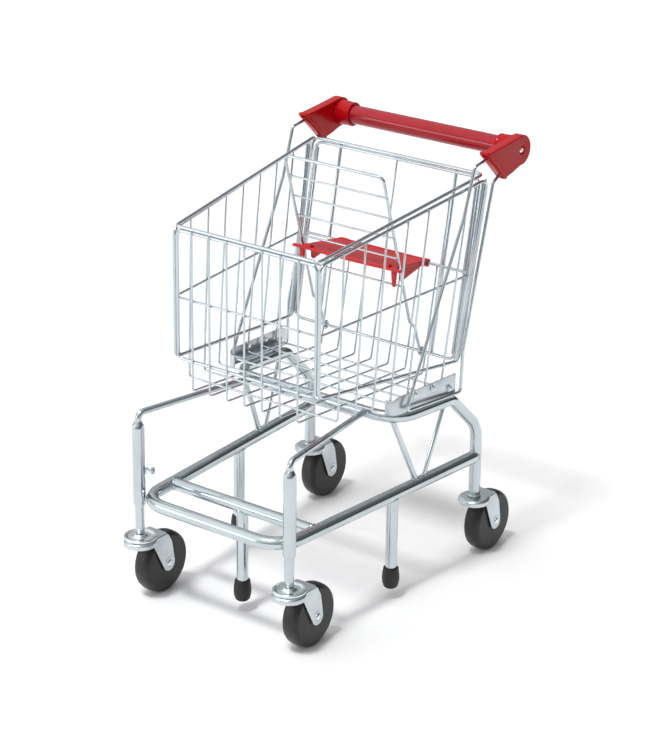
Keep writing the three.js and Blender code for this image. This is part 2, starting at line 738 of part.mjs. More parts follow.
function tailPanel() {
  const high = [tailAt(-tailX, tailTop), tailAt(tailX, tailTop)];
  const low = [tailAt(tailX, LOOP_REAR_Z), tailAt(-tailX, LOOP_REAR_Z)];
  const frame = frameLoop([...high, ...low], 12);
  const lean = v(0, 1, -TAIL_LEAN / (RIM_Z + RIM_RISE - LOOP_REAR_Z)).normalize();
  const inset = (r) => lean.clone().multiplyScalar(FRAME_R + r - SINK);
  const upright = (px, z0, z1, r, sides) =>
    straight(tailAt(px, z0).add(inset(r)), tailAt(px, z1).add(inset(r)), r, sides);
  const mid = straight(tailAt(-tailX, MID_REAR_Z), tailAt(tailX, MID_REAR_Z), FRAME_R, WIRE_N);
  const stout = [-1, 1].map((s) => upright(s * STOUT_X, LOOP_REAR_Z - 2, tailTop + 1, STOUT_R, WIRE_N));
  const thin = Array.from({ length: BAYS - 1 }, (_, i) =>
    upright(bayX(i + 1), LOOP_REAR_Z - FRAME_R - 1, MID_REAR_Z + 1, MESH_R, MESH_N),
  );
  const centre = upright(0, MID_REAR_Z - 1, tailTop + 1, MESH_R, MESH_N);
  const twins = [-1, 1].map((s) => straight(
    tailAt(s * (tailX - TWIN * FRAME_R), LOOP_REAR_Z + 8),
    tailAt(s * (tailX - TWIN * FRAME_R), tailTop - 8),
    FRAME_R,
    WIRE_N,
  ));
  return weld([frame, mid, ...stout, ...thin, centre, ...twins]);
}

// The floor is a shallow tray: every wire is turned up at both ends to meet a panel.
function basketFloor() {
  const along = Array.from({ length: BAYS - 1 }, (_, i) => {
    const px = bayX(i + 1);
    const z = LOOP_FRONT_Z - FRAME_R - 1 - GAP;
    const zr = LOOP_REAR_Z - FRAME_R - 2 - GAP;
    const corners = [
      v(px, NOSE_Y - WELD, z),
      v(px, NOSE_Y - WELD, FLOOR_FRONT_Z),
      v(px, tailY(FLOOR_REAR_Z) + WELD, FLOOR_REAR_Z),
      v(px, tailY(zr) + WELD, zr),
    ];
    return bar(new BentLine(corners, 5, { arcSteps: 2 }), MESH_R, MESH_N);
  });
  const across = Array.from({ length: BAYS - 1 }, (_, i) => crossWire((i + 1) / BAYS));
  return weld([...along, ...across]);
}

function crossWire(t) {
  const c = sideCorners(1);
  const foot = c.lowFront.clone().lerp(c.lowRear, t);
  const head = c.topFront.clone().lerp(c.topRear, t);
  const way = head.sub(foot).normalize();
  const start = foot.clone().addScaledVector(way, -FRAME_R - 1 - GAP);
  const down = (start.z - floorZ(foot.y)) / way.z;
  const bend = start.clone().addScaledVector(way, -down);
  bend.z = floorZ(bend.y) + CROSS_RISE;
  start.x += WELD;
  bend.x += WELD;
  const corners = [start, bend, mirror(bend, -1), mirror(start, -1)];
  return bar(new BentLine(corners, 5, { arcSteps: 2 }), MESH_R, MESH_N);
}

// ---------------------------------------------------------------- handle
const mouthMid = [(MOUTH_TOP[0] + MOUTH_LOW[0]) / 2, (MOUTH_TOP[1] + MOUTH_LOW[1]) / 2];
const housingX = (HOUSING_OUT + HOUSING_IN) / 2;
const stayX = (z) => lerp(STAY_X, housingX, (z - STAY_NOSE_Z) / (HANDLE_Z - STAY_NOSE_Z));

function stayLine(side) {
  const at = (y, z) => v(side * stayX(z), y, z);
  return new BentLine(
    [
      at(MOUTH_TOP[0] + 20, MOUTH_TOP[1] - 9),
      at(351, HANDLE_Z - 1),
      at(330, HANDLE_Z - 65),
      at(STAY_NOSE_Y, STAY_NOSE_Z),
      at(STAY_TAIL_Y, STAY_TAIL_Z),
      at(341, 318),
      at(396, HANDLE_Z - 32),
      at(MOUTH_LOW[0] + 5, MOUTH_LOW[1] + 9),
    ],
    6,
    { arcSteps: 3 },
  );
}

const stay = (side) => bar(stayLine(side), STAY_R, WIRE_N);
const handleLine = (x) => [v(-x, HANDLE_Y, HANDLE_Z), v(x, HANDLE_Y, HANDLE_Z)];
const HANDLE_HALF = HOUSING_OUT - 7;

function handleTube() {
  return straight(...handleLine(HANDLE_HALF), HANDLE_R, 20, HANDLE_WALL);
}

function housingOutline(grow = 0) {
  const r = HOUSING_R + grow;
  const arc = Array.from({ length: 13 }, (_, i) => {
    const a = (Math.PI * (-95 + (195 * i) / 12)) / 180;
    return [HANDLE_Y + r * Math.cos(a), HANDLE_Z + r * Math.sin(a)];
  });
  return [
    [MOUTH_LOW[0], MOUTH_LOW[1] - grow],
    [MOUTH_LOW[0] + 14, MOUTH_LOW[1] + 3 - grow],
    ...arc,
    [HANDLE_Y - 40, HANDLE_Z + HOUSING_R - 4.5 + grow],
    [MOUTH_TOP[0], MOUTH_TOP[1] + grow],
  ];
}

// A plastic housing: round end over the tube, arm down to the stays, collar and lip.
function housing(side) {
  const arm = slab(housingOutline(), HOUSING_IN, HOUSING_OUT - 1.5);
  const cap = slab(housingOutline(-1.5), HOUSING_OUT - 2, HOUSING_OUT);
  const lip = slab(
    [
      [MOUTH_TOP[0] - 2.4, MOUTH_TOP[1] - 0.6],
      [MOUTH_LOW[0] - 2.4, MOUTH_LOW[1] - 2.6],
      [MOUTH_LOW[0] + 1.6, MOUTH_LOW[1] - 1.6],
      [MOUTH_TOP[0] + 1.8, MOUTH_TOP[1] + 1.4],
    ],
    HOUSING_IN - 0.8,
    HOUSING_OUT,
  );
  const collar = turnedAlong(
    [
      [0, COLLAR_END],
      [COLLAR_R + 0.4, COLLAR_END],
      [COLLAR_R + 0.4, COLLAR_END + 2.5],
      [COLLAR_R, COLLAR_END + 3.5],
      [COLLAR_R + 1.6, HOUSING_IN + 1],
      [0, HOUSING_IN + 1],
    ],
    20,
    v(0, HANDLE_Y, HANDLE_Z),
    v(1, 0, 0),
  );
  const bore = straight(
    v(COLLAR_END - 2, HANDLE_Y, HANDLE_Z),
    v(HANDLE_HALF + GAP, HANDLE_Y, HANDLE_Z),
    (HANDLE_R + GAP) / Math.cos(Math.PI / 20),
    20,
  );
  const sockets = bar(stayLine(1), (STAY_R + GAP) / Math.cos(Math.PI / WIRE_N), WIRE_N);
  const pilot = straight(
    v(HANDLE_HALF - 2, HANDLE_Y, HANDLE_Z),
    v(HOUSING_OUT + 4, HANDLE_Y, HANDLE_Z),
    (SCREW_R + GAP) / Math.cos(Math.PI / 12),
    12,
  );
  const body = cut(weld([arm, cap, lip, collar]), [bore, sockets, pilot]);
  return side > 0 ? body : body.scale([-1, 1, 1]);
}


// The screw that closes each end of the handle.
function handleScrew(side) {
  const profile = [
    [0, HANDLE_HALF - 6],
    [SCREW_R, HANDLE_HALF - 5],
    [SCREW_R, HOUSING_OUT + GAP],
    [4.4, HOUSING_OUT + GAP],
    [3.9, HOUSING_OUT + GAP + 0.8],
    [0, HOUSING_OUT + GAP + 1],
  ];
  return turnedAlong(profile, 12, v(0, HANDLE_Y, HANDLE_Z), v(side, 0, 0));
}

// ---------------------------------------------------------------- doll seat
const restHinge = tailAt(0, LOOP_REAR_Z);
const seatHinge = tailAt(0, MID_REAR_Z);
const restY = (z) => lerp(REST_TOP_Y, 310, (REST_TOP_Z - z) / (REST_TOP_Z - 358));
const hookR = FRAME_R + RUN + REST_R;

function hook(side) {
  const corners = Array.from({ length: 8 }, (_, i) => {
    const a = (i / 8) * 2 * Math.PI;
    const y = restHinge.y + hookR * Math.cos(a) * 1.08;
    return v(side * REST_X, y, restHinge.z + hookR * Math.sin(a) * 1.08);
  });
  return loopBar(new BentLine(corners, 2, { closed: true, arcSteps: 1, normal: v(1, 0, 0) }), REST_R, WIRE_N);
}

// Backrest: a wire hoop whose legs hook round the lowest wire of the tail panel.
function backrest() {
  const leg = (side) => [
    v(side * REST_X, restHinge.y - hookR * 0.9, restHinge.z + hookR * 0.9),
    v(side * REST_X, 324, 341),
    v(side * REST_X, 311.5, 352),
    v(side * (REST_X - 0.5), REST_TOP_Y, REST_TOP_Z),
  ];
  const corners = [...leg(1), ...leg(-1).reverse()];
  const hoop = bar(new BentLine(corners, 9, { arcSteps: 3 }), REST_R, WIRE_N);
  const rungs = REST_RUNGS.map((z) =>
    straight(v(-REST_X, restY(z), z), v(REST_X, restY(z), z), MESH_R, MESH_N),
  );
  return weld([hoop, hook(-1), hook(1), ...rungs]);
}

// Seat: a moulded plate with cheeks, lugs and two barrels that snap on the middle wire.
function seat() {
  const tilt = (SEAT_FRONT_Z - seatHinge.z) / (seatHinge.y - SEAT_FRONT_Y);
  const inner = REST_X - REST_R - 1.4;
  const rear = seatHinge.y - 12;
  const legY = restY(SEAT_FRONT_Z);
  const front = Array.from({ length: 9 }, (_, i) => {
    const x = lerp(inner - 4, -(inner - 4), i / 8);
    return [x, SEAT_FRONT_Y - 4 * (1 - (x / inner) ** 2)];
  });
  const tab = REST_X + REST_R + 6;
  const outline = [
    [-SEAT_HALF, rear],
    [-inner, legY + 16],
    [-inner, legY - 5],
    [-tab, legY - 5],
    [-tab, legY - 12],
    ...front.slice().reverse(),
    [tab, legY - 12],
    [tab, legY - 5],
    [inner, legY - 5],
    [inner, legY + 16],
    [SEAT_HALF, rear],
  ];
  const plate = tile(outline.slice().reverse(), -SEAT_T / 2, SEAT_T / 2);
  const ridge = block(-SEAT_HALF + 1, SEAT_HALF - 1, rear - 3.5, rear, -SEAT_T / 2, SEAT_T / 2 + 1.6);
  const slot = block(-12, 12, rear - 12, rear - 7, -10, 10);
  const lips = [-1, 1].map((s) =>
    slab([[SEAT_FRONT_Y, 1], [SEAT_FRONT_Y + 12, 1], [SEAT_FRONT_Y + 3, 6.5], [SEAT_FRONT_Y - 1, 5]],
      s * (inner - 7), s * (inner - 18)),
  );
  const cheek = [[legY + 10, 0], [legY + 12, -18], [rear, -2], [rear, 0]];
  const cheeks = [-1, 1].map((s) => slab(cheek, s * (SEAT_HALF + 1.5), s * (SEAT_HALF - 1.7)));
  const lug = [[0.5, 0], [1.5, -22], [5, -24], [7, -20], [7, 0]].map(([y, z]) => [SEAT_FRONT_Y + y, z]);
  const lugs = [-1, 1].map((s) => slab(lug, s * (inner + 3), s * (inner - 5)));
  const flat = cut(weld([plate, ridge, ...lips, ...cheeks, ...lugs]), [slot]);
  const lifted = shear(flat, -tilt, seatHinge.y, seatHinge.z);
  const barrels = [-1, 1].map((s) => barrel(s));
  return cut(weld([lifted, ...barrels]), [hingeWire()]);
}

function barrel(side) {
  const x1 = side * SEAT_HALF;
  const x0 = side * (SEAT_HALF - BARREL_L);
  const round = straight(v(x0, seatHinge.y, seatHinge.z), v(x1, seatHinge.y, seatHinge.z), BARREL_R, 12);
  const arm = block(x0, x1, seatHinge.y - 13, seatHinge.y, seatHinge.z - 1.5, seatHinge.z + 4.5);
  return round.add(arm);
}

function hingeWire() {
  const half = v(tailX, 0, 0);
  const r = (FRAME_R + RUN) / Math.cos(Math.PI / 12);
  return straight(seatHinge.clone().sub(half), seatHinge.clone().add(half), r, 12);
}

// ---------------------------------------------------------------- assembly
const steel = (tint, roughness) => () =>
  new THREE.MeshStandardMaterial({ color: tint, metalness: 0.9, roughness });
const plastic = (tint, roughness) => () =>
  new THREE.MeshStandardMaterial({ color: tint, metalness: 0, roughness });
const TUBE_STEEL = steel(0xc3cbd1, 0.28);
const WIRE_STEEL = steel(0xccd3d8, 0.25);
const SHEET_STEEL = steel(0xb4bcc2, 0.35);
const BRIGHT = steel(0xdfe3e6, 0.2);
const RED = plastic(0xc81a22, 0.3);
const SEAT_RED = plastic(0xcc3a3c, 0.5);
const RUBBER = plastic(0x2c2a2a, 0.8);

const cart = new THREE.Group();
cart.name = "shopping_cart";

function add(name, body, material) {
  const mesh = new THREE.Mesh(geometryOf(body), material());
  mesh.name = name;
  cart.add(mesh);
}

const SIDES = [
  ["left", -1],
  ["right", 1],
];

add("lower_bow", lowerBow(), TUBE_STEEL);
add("cross_tube", crossTube(), TUBE_STEEL);
add("upper_bow", upperBow(), TUBE_STEEL);
add("prop_centre", prop(0, CROSS_Y, [crossTubeRound(RAIL_R - 0.4 + GAP)]), TUBE_STEEL);
add("foot_centre", rubberFoot(0, CROSS_Y), RUBBER);
for (const [name, side] of SIDES) {
  const propX = side * railX(PROP_Y);
  add(`prop_${name}`, prop(propX, PROP_Y, [lowerBowRound]), TUBE_STEEL);
  add(`foot_${name}`, rubberFoot(propX, PROP_Y), RUBBER);
  add(`post_${name}`, frontPost(side), TUBE_STEEL);
  add(`stay_rod_${name}`, stayRod(side), TUBE_STEEL);
  add(`brace_${name}`, brace(side), TUBE_STEEL);
  add(`tie_${name}`, tie(side), TUBE_STEEL);
  add(`bracket_${name}`, bracket(side), SHEET_STEEL);
  BOLT_AT.forEach((_, i) => add(`bracket_bolt_${name}_${i + 1}`, bracketBolt(side, i), BRIGHT));
  add(`clamp_bolt_${name}`, clampBolt(side), BRIGHT);
  add(`caster_cup_${name}`, cup(side), BRIGHT);
  add(`front_fork_${name}`, frontFork(side), SHEET_STEEL);
  add(`front_axle_${name}`, axle(frontAxle(side)), BRIGHT);
  add(`front_wheel_${name}`, wheel(frontAxle(side)), RUBBER);
  add(`rear_fork_${name}`, rearFork(side), SHEET_STEEL);
  add(`rear_axle_${name}`, axle(rearAxle(side)), BRIGHT);
  add(`rear_wheel_${name}`, wheel(rearAxle(side)), RUBBER);
  add(`basket_side_${name}`, sidePanel(side), WIRE_STEEL);
  add(`handle_stay_${name}`, stay(side), WIRE_STEEL);
  add(`housing_${name}`, housing(side), RED);
  add(`handle_screw_${name}`, handleScrew(side), BRIGHT);
}
add("basket_rim", basketRim(), WIRE_STEEL);
add("basket_nose", nosePanel(), WIRE_STEEL);
add("basket_tail", tailPanel(), WIRE_STEEL);
add("basket_floor", basketFloor(), WIRE_STEEL);
add("handle_tube", handleTube(), RED);
add("seat_backrest", backrest(), WIRE_STEEL);
add("seat_panel", seat(), SEAT_RED);

// The origin is on the floor, under the middle of the cart.
const size = new THREE.Box3().setFromObject(cart);
cart.position.y = -(size.min.y + size.max.y) / 2;

export default cart;
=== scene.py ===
"""Child-size wire shopping cart: plated tube chassis, welded wire basket, folding doll seat.

Every shape is drawn in millimetres from the maker's datum: x from the centre line, y back from the
swivel posts, z up from the floor. A finished piece is moved to the frame's own origin in metres.
"""

import json
import math

import bmesh
import bpy
import numpy as np
from mathutils import Matrix


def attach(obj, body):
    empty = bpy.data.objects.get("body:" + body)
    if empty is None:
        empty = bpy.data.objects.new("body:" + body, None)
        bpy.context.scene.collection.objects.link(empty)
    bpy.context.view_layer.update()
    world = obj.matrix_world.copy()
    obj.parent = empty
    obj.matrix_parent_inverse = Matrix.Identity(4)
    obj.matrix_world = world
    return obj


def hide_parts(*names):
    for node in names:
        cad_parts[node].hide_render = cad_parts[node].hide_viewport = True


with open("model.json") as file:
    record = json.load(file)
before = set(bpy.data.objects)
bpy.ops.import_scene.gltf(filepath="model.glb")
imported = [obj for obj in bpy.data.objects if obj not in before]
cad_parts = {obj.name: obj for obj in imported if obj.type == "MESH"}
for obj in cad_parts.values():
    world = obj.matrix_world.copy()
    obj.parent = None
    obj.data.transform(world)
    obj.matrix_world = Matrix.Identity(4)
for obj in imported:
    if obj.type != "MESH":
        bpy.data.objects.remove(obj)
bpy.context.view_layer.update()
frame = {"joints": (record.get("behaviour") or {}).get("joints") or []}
JOINTS = {joint["name"]: joint for joint in frame["joints"]}
POSTS_Y = JOINTS["swivel_turn_right"]["pos_m"][1]
MM, SAME_POINT = 0.001, 1e-7
SIDES = (("left", -1), ("right", 1))

# ------------------------------------------------------------------ sizes, in millimetres
POST_X, LEG_X, LEG_Y = 124.7, 142.5, 388.0
RAIL_Z, RAIL_R, BOW_R, CORNER_R, CORNER_TURN = 150.0, 8.8, 8.0, 40.0, math.radians(35)
SLEEVE_R, STEM_R, SLEEVE_BOTTOM, SLEEVE_TOP = 8.3, 6.2, 141.0, 250.0
ROD_R, ROD_Z, ROD_END_X, SHOULDER = 4.3, 268.0, 92.0, 7.0
CLAMP_Z = 186.0
CROSS_Y, PROP_Y, PROP_R = 60.0, 212.0, 7.8
FOOT_BOTTOM, FOOT_HEIGHT, FOOT_R = 15.5, 29.0, 11.8
UPPER_Y, UPPER_X, UPPER_Z, UPPER_BEND, LEG_BEND = 207.0, 136.0, 259.0, 38.0, 30.0
KNEE_Z, KNEE_Y, KNEE_BEND, BRACE_R, TIE_R, BRACE_FOOT_Y = 194.0, 327.0, 46.0, 3.9, 2.9, 262.0
WHEEL_D, WHEEL_T, AXLE_R = 86.0, 25.0, 3.5
CHEEK_IN, CHEEK_T, PLATE_R, SKIRT, EYE_R = 13.7, 2.0, 22.0, 9.0, 11
FORK_TOP = WHEEL_D + 4.0
TRAIL_FRONT, TRAIL_REAR, CUP_R, CUP_H = 40.0, 34.0, 21.8, 7.0
RIM_Z, RIM_RISE, RIM_FRONT_X, RIM_REAR_X, SIDE_OUT = 507.0, 42.0, 116.5, 141.0, 4.2
NOSE_X, NOSE_Y, BASKET_LENGTH, TAIL_LEAN = 112.2, 66.5, 319.5, 46.0
LOOP_FRONT_Z, LOOP_REAR_Z = 328.0, 302.0
FLOOR_FRONT_Z, FLOOR_REAR_Z, FLOOR_REAR_Y = 288.5, 272.0, 337.0
MID_FRONT_Z, MID_REAR_Z = 411.0, 419.4
FRAME_R, EDGE_R, MESH_R, STOUT_R, STOUT_X, SINK, BAYS = 2.1, 2.3, 1.4, 2.4, 95.0, 0.8, 8
HANDLE_Y, HANDLE_Z, HANDLE_R = 452.0, 570.0, 13.0
HOUSING_R, HOUSING_OUT, HOUSING_IN, COLLAR_R, COLLAR_END = 20.35, 156.0, 142.0, 16.2, 120.0
MOUTH_TOP, MOUTH_LOW = (372.0, 582.0), (417.0, 541.0)
STAY_R, STAY_X, STAY_NOSE_Y, STAY_TAIL_Y, STAY_NOSE_Z, STAY_TAIL_Z = 2.3, 146.6, 214.0, 339.0, 271.5, 260.2
REST_X, REST_TOP_Z, REST_TOP_Y, REST_R = 80.3, 566.0, 245.5, 2.1
REST_RUNGS = (536.6, 506.8, 477.8, 447.0, 405.0)
SEAT_T, SEAT_HALF, SEAT_FRONT_Y, SEAT_FRONT_Z, BARREL_R, BARREL_L = 4.0, 73.0, 276.0, 435.0, 5.6, 11.0

STEP_SIDE = 2 * FRAME_R + 0.6
WELD = FRAME_R + MESH_R - SINK
CROSS_RISE = 2 * MESH_R - SINK
AXLE_Z = WHEEL_D / 2
BED_SLOPE = (FLOOR_REAR_Z - FLOOR_FRONT_Z) / (FLOOR_REAR_Y - NOSE_Y)


# ------------------------------------------------------------------ arrays and meshes
def unit(a):
    """Each direction brought to length one."""
    a = np.asarray(a, float)
    return a / np.linalg.norm(a, axis=-1, keepdims=True)


def lerp(a, b, t):
    """The place a share t of the way from a to b."""
    return a + (b - a) * t


def grid(rows, cols, closed=False):
    """Quads between neighbouring points of a grid whose columns run right round."""
    i = np.arange(rows if closed else rows - 1)
    a, b = np.meshgrid(i, np.arange(cols), indexing="ij")
    up, on = (a + 1) % rows, (b + 1) % cols
    return np.stack([a * cols + b, a * cols + on, up * cols + on, up * cols + b], -1).reshape(-1, 4)


def shell(rings, closed=False):
    """Rings of points joined into a skin, with a flat face over each open end. A shape is its points and
    its blocks of faces, each an array with one face in a row."""
    rows, cols = rings.shape[:2]
    faces = [grid(rows, cols, closed)]
    if not closed:
        cap = np.arange(cols)[None]
        faces += [cap[:, ::-1], cap + (rows - 1) * cols]
    return rings.reshape(-1, 3), faces


def joined(shapes):
    """Several shapes as one: their points in turn, each block of faces counted on from its own points."""
    points, faces, start = [], [], 0
    for p, blocks in shapes:
        points.append(p)
        faces += [block + start for block in blocks]
        start += len(p)
    return np.concatenate(points), faces


def mirrored(shape):
    """The same shape on the other side of the centre line, still facing out."""
    points, faces = shape
    return points * [-1, 1, 1], [block[:, ::-1] for block in faces]


def on_side(shape, side):
    """A shape drawn for the right, kept there or mirrored to the left."""
    return shape if side > 0 else mirrored(shape)


def moved(shape, x=0.0, y=0.0, z=0.0):
    """The shape with every point shifted by the same step."""
    return shape[0] + [x, y, z], shape[1]


def lifted(shape, rise):
    """The shape with each point raised by its own amount."""
    points, faces = shape
    return points + np.c_[np.zeros((len(points), 2)), rise], faces


def bent(corners, radius, steps=7, closed=False):
    """Centre line of a bent wire: straight runs, with a circular arc tangent to both runs at each corner."""
    corners = np.asarray(corners, float)
    radii = np.broadcast_to(radius, len(corners))
    into = unit(corners - np.roll(corners, 1, 0))
    away = unit(np.roll(corners, -1, 0) - corners)
    points, ways = [], []
    for i, corner in enumerate(corners):
        end = not closed and i in (0, len(corners) - 1)
        turn = 0.0 if end else math.acos(np.clip(into[i] @ away[i], -1, 1))
        if end or turn < 1e-3:
            points.append(corner[None])
            ways.append((away if i == 0 else into)[i][None])
            continue
        inward = unit(away[i] - into[i] * (into[i] @ away[i]))
        start = corner - into[i] * radii[i] * math.tan(turn / 2)
        a = np.linspace(0, turn, steps + 1)[:, None]
        points.append(start + radii[i] * (np.sin(a) * into[i] + (1 - np.cos(a)) * inward))
        ways.append(np.cos(a) * into[i] + np.sin(a) * inward)
    return np.concatenate(points), np.concatenate(ways)


def swept(path, radius, sides=12, closed=False, dome=0.45):
    """A circle carried along a path: centre + r (n cos a + b sin a), with a rounded-over end at each tip.
    n lies as near as it can to the normal of the path's own plane."""
    points, ways = path
    radii = np.broadcast_to(np.asarray(radius, float), len(points))
    if not closed:
        lift = np.radians([85, 60, 30])[:, None]
        tip = dome * radii[[0, -1]]
        head = points[0] - ways[0] * tip[0] * np.sin(lift)
        tail = points[-1] + ways[-1] * tip[1] * np.sin(lift[::-1])
        shrink = 1 - dome * (1 - np.cos(lift[:, 0]))
        points = np.concatenate([head, points, tail])
        radii = np.concatenate([radii[0] * shrink, radii, radii[-1] * shrink[::-1]])
        ways = np.concatenate([np.repeat(ways[:1], 3, 0), ways, np.repeat(ways[-1:], 3, 0)])
    flat = np.linalg.svd(points - points.mean(0))[2][-1]
    n = unit(flat - ways * (ways @ flat)[:, None])
    b = np.cross(ways, n)
    a = 2 * math.pi * np.arange(sides) / sides
    spokes = n[:, None] * np.cos(a)[:, None] + b[:, None] * np.sin(a)[:, None]
    return shell(points[:, None] + spokes * radii[:, None, None], closed)


def straight(a, b, radius, sides=12, dome=0.45):
    """A straight wire between two points."""
    a, b = np.asarray(a, float), np.asarray(b, float)
    way = unit(b - a)
    return swept((np.array([a, b]), np.array([way, way])), radius, sides, False, dome)


def wire(corners, bend, radius, sides=12, closed=False, steps=7, dome=0.45):
    """A circle carried along a bent wire."""
    return swept(bent(corners, bend, steps, closed), radius, sides, closed, dome)


def soft_corners(corners, radius, steps=4, closed=False):
    """A drawn line with its corners rounded, as pairs of numbers."""
    flat = np.c_[np.asarray(corners, float), np.zeros(len(corners))]
    return bent(flat, radius, steps, closed)[0][:, :2]


def turned(profile, centre=(0, 0, 0), axis=(0, 0, 1), sides=48, closed=False):
    """A line of (radius, height) turned round an axis: centre + height axis + radius (u cos a + w sin a)."""
    profile = np.asarray(profile, float)
    axis = unit(axis)
    u = unit(np.cross(axis, (0, 1, 0) if abs(axis[1]) < 0.9 else (1, 0, 0)))
    w = np.cross(axis, u)
    a = 2 * math.pi * np.arange(sides) / sides
    spokes = np.cos(a)[:, None] * u + np.sin(a)[:, None] * w
    rings = profile[:, 1, None, None] * axis + profile[:, 0, None, None] * spokes
    return shell(np.asarray(centre, float) + rings, closed)


def oblong(x, y0, y1):
    """Corners of a rectangle that reaches as far left as right."""
    return [(-x, y0), (x, y0), (x, y1), (-x, y1)]


def outline_normals(outline):
    """Outward normals of an outline: the way between a point's two neighbours, turned a quarter."""
    along = unit(np.roll(outline, -1, 0) - np.roll(outline, 1, 0))
    return np.c_[along[:, 1], -along[:, 0]]


def plate(outline, low, high, edge=0.5, steps=3):
    """A closed outline given thickness from low to high; its rims are quarter circles of radius edge."""
    outline = np.asarray(outline, float)
    nxt = np.roll(outline, -1, 0)
    if (outline[:, 0] * nxt[:, 1] - nxt[:, 0] * outline[:, 1]).sum() < 0:
        outline = outline[::-1]
    out = outline_normals(outline)
    a = np.linspace(0, math.pi / 2, steps + 1)
    fade = edge * (1 - np.sin(a))
    rise = edge * (1 - np.cos(a))
    inset = np.r_[edge + 0.25, fade, fade[::-1], edge + 0.25]
    level = np.r_[low, low + rise, high - rise[::-1], high]
    flat = outline - out * inset[:, None, None]
    return shell(np.concatenate([flat, np.broadcast_to(level[:, None, None], flat.shape[:2] + (1,))], -1))


def upright_plate(outline, x0, x1, edge=0.5, steps=3):
    """A plate drawn in (y, z) and standing between two values of x."""
    points, faces = plate(outline, min(x0, x1), max(x0, x1), edge, steps)
    return points[:, [2, 0, 1]], faces


def piece(name, shapes, body, finish, *nodes, crease=38):
    """Makes the mesh of a finished piece, shades it and hangs it on its body."""
    slot, material = finish
    points, blocks = joined(shapes)
    faces = [face for block in blocks for face in block.tolist()]
    mesh = bpy.data.meshes.new(name)
    mesh.from_pydata((points * MM + [0, POSTS_Y, 0]).tolist(), [], faces)
    knit = bmesh.new()
    knit.from_mesh(mesh)
    bmesh.ops.remove_doubles(knit, verts=knit.verts, dist=SAME_POINT)
    knit.to_mesh(mesh)
    knit.free()
    mesh.polygons.foreach_set("use_smooth", np.ones(len(mesh.polygons), bool))
    mesh.set_sharp_from_angle(angle=math.radians(crease))
    mesh.materials.append(material)
    thing = bpy.data.objects.new(name, mesh)
    bpy.context.scene.collection.objects.link(thing)
    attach(thing, body)
    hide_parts(*nodes)


# ------------------------------------------------------------------ shader sums
class Sum:
    """A node's socket that can be added, taken away or multiplied like a number."""

    def __init__(self, nodes, socket):
        self.nodes, self.socket = nodes, socket

    def math(self, operation, *terms):
        """A Math node over the terms, in their order."""
        return self.nodes.node("ShaderNodeMath", {"operation": operation}, dict(enumerate(terms)))

    def __add__(self, other):
        return self.math("ADD", self, other)

    __radd__ = __add__

    def __mul__(self, other):
        return self.math("MULTIPLY", self, other)

    __rmul__ = __mul__

    def __sub__(self, other):
        return self.math("SUBTRACT", self, other)

    def __rsub__(self, other):
        return self.math("SUBTRACT", other, self)


class Nodes:
    """A node tree whose nodes are all made by node(), and the shader that they feed."""

    def __init__(self, owner, shader):
        owner.use_nodes = True
        self.tree = owner.node_tree
        self.shader = self.tree.nodes[shader]

    def node(self, kind, settings=None, sockets=None, out=0):
        """Adds a node: its settings first, then a value or a link for each socket."""
        made = self.tree.nodes.new(kind)
        for key, value in (settings or {}).items():
            if key == "stops":
                ramp = made.color_ramp
                for i, (spot, colour) in enumerate(value):
                    stop = ramp.elements[i] if i < 2 else ramp.elements.new(spot)
                    stop.position, stop.color = spot, colour
            else:
                setattr(made, key, value)
        for key, value in (sockets or {}).items():
            if isinstance(value, Sum):
                self.tree.links.new(value.socket, made.inputs[key])
            else:
                made.inputs[key].default_value = value
        return Sum(self, made.outputs[out])

    def feed(self, **links):
        """Links each value to the shader's socket of that name."""
        for socket, value in links.items():
            self.tree.links.new(value.socket, self.shader.inputs[socket.replace("_", " ")])


class Finish(Nodes):
    """One material: constants stand on the shader's own sockets, patterns lie on Object coordinates."""

    def __init__(self, name, **constants):
        self.material = bpy.data.materials.new(name)
        super().__init__(self.material, "Principled BSDF")
        for socket, value in constants.items():
            self.shader.inputs[socket.replace("_", " ")].default_value = value
        self.place = self.node("ShaderNodeTexCoord", out="Object")

    def noise(self, scale, detail=3.0, rough=0.55):
        """Cloudy values about one half, finer with the scale."""
        sockets = {"Vector": self.place, "Scale": scale, "Detail": detail, "Roughness": rough}
        return self.node("ShaderNodeTexNoise", None, sockets, "Fac")

    def between(self, value, low, high, start=0.0, end=1.0):
        """The value carried from low..high to start..end and held inside it."""
        sockets = {"Value": value, "From Min": low, "From Max": high, "To Min": start, "To Max": end}
        return self.node("ShaderNodeMapRange", None, sockets)

    def mixed(self, amount, first, second):
        """One colour laid over another by an amount."""
        return self.node("ShaderNodeMix", {"data_type": "RGBA"}, {0: amount, 6: first, 7: second}, 2)

    def bump(self, height, strength):
        """A height that tilts the surface, as if it stood BUMP_DEPTH high."""
        sockets = {"Height": height, "Strength": strength, "Distance": BUMP_DEPTH}
        self.feed(Normal=self.node("ShaderNodeBump", None, sockets))


def tone(r, g, b):
    """An opaque colour."""
    return (r, g, b, 1.0)


BUMP_DEPTH = 0.0006


def plated(name, light, dark, smooth, rough, grain=260.0):
    """Bright zinc plate: cloudy passivation, a fine rolled grain and small dull specks."""
    f = Finish(name, Metallic=1.0)
    cloud = f.between(f.noise(26.0, 4.0, 0.6), 0.35, 0.68)
    fine = f.noise(grain, 2.0, 0.5)
    speck = f.between(f.noise(900.0, 1.0, 0.5), 0.70, 0.80)
    f.feed(Base_Color=f.mixed(cloud * 0.85 + speck * 0.15, tone(*light), tone(*dark)))
    f.feed(Roughness=f.between(cloud * 0.6 + fine * 0.4 + speck * 0.2, 0.1, 0.9, smooth, rough))
    f.bump(fine * 0.6 + f.noise(70.0, 2.0) * 0.4, 0.045)
    return f.material


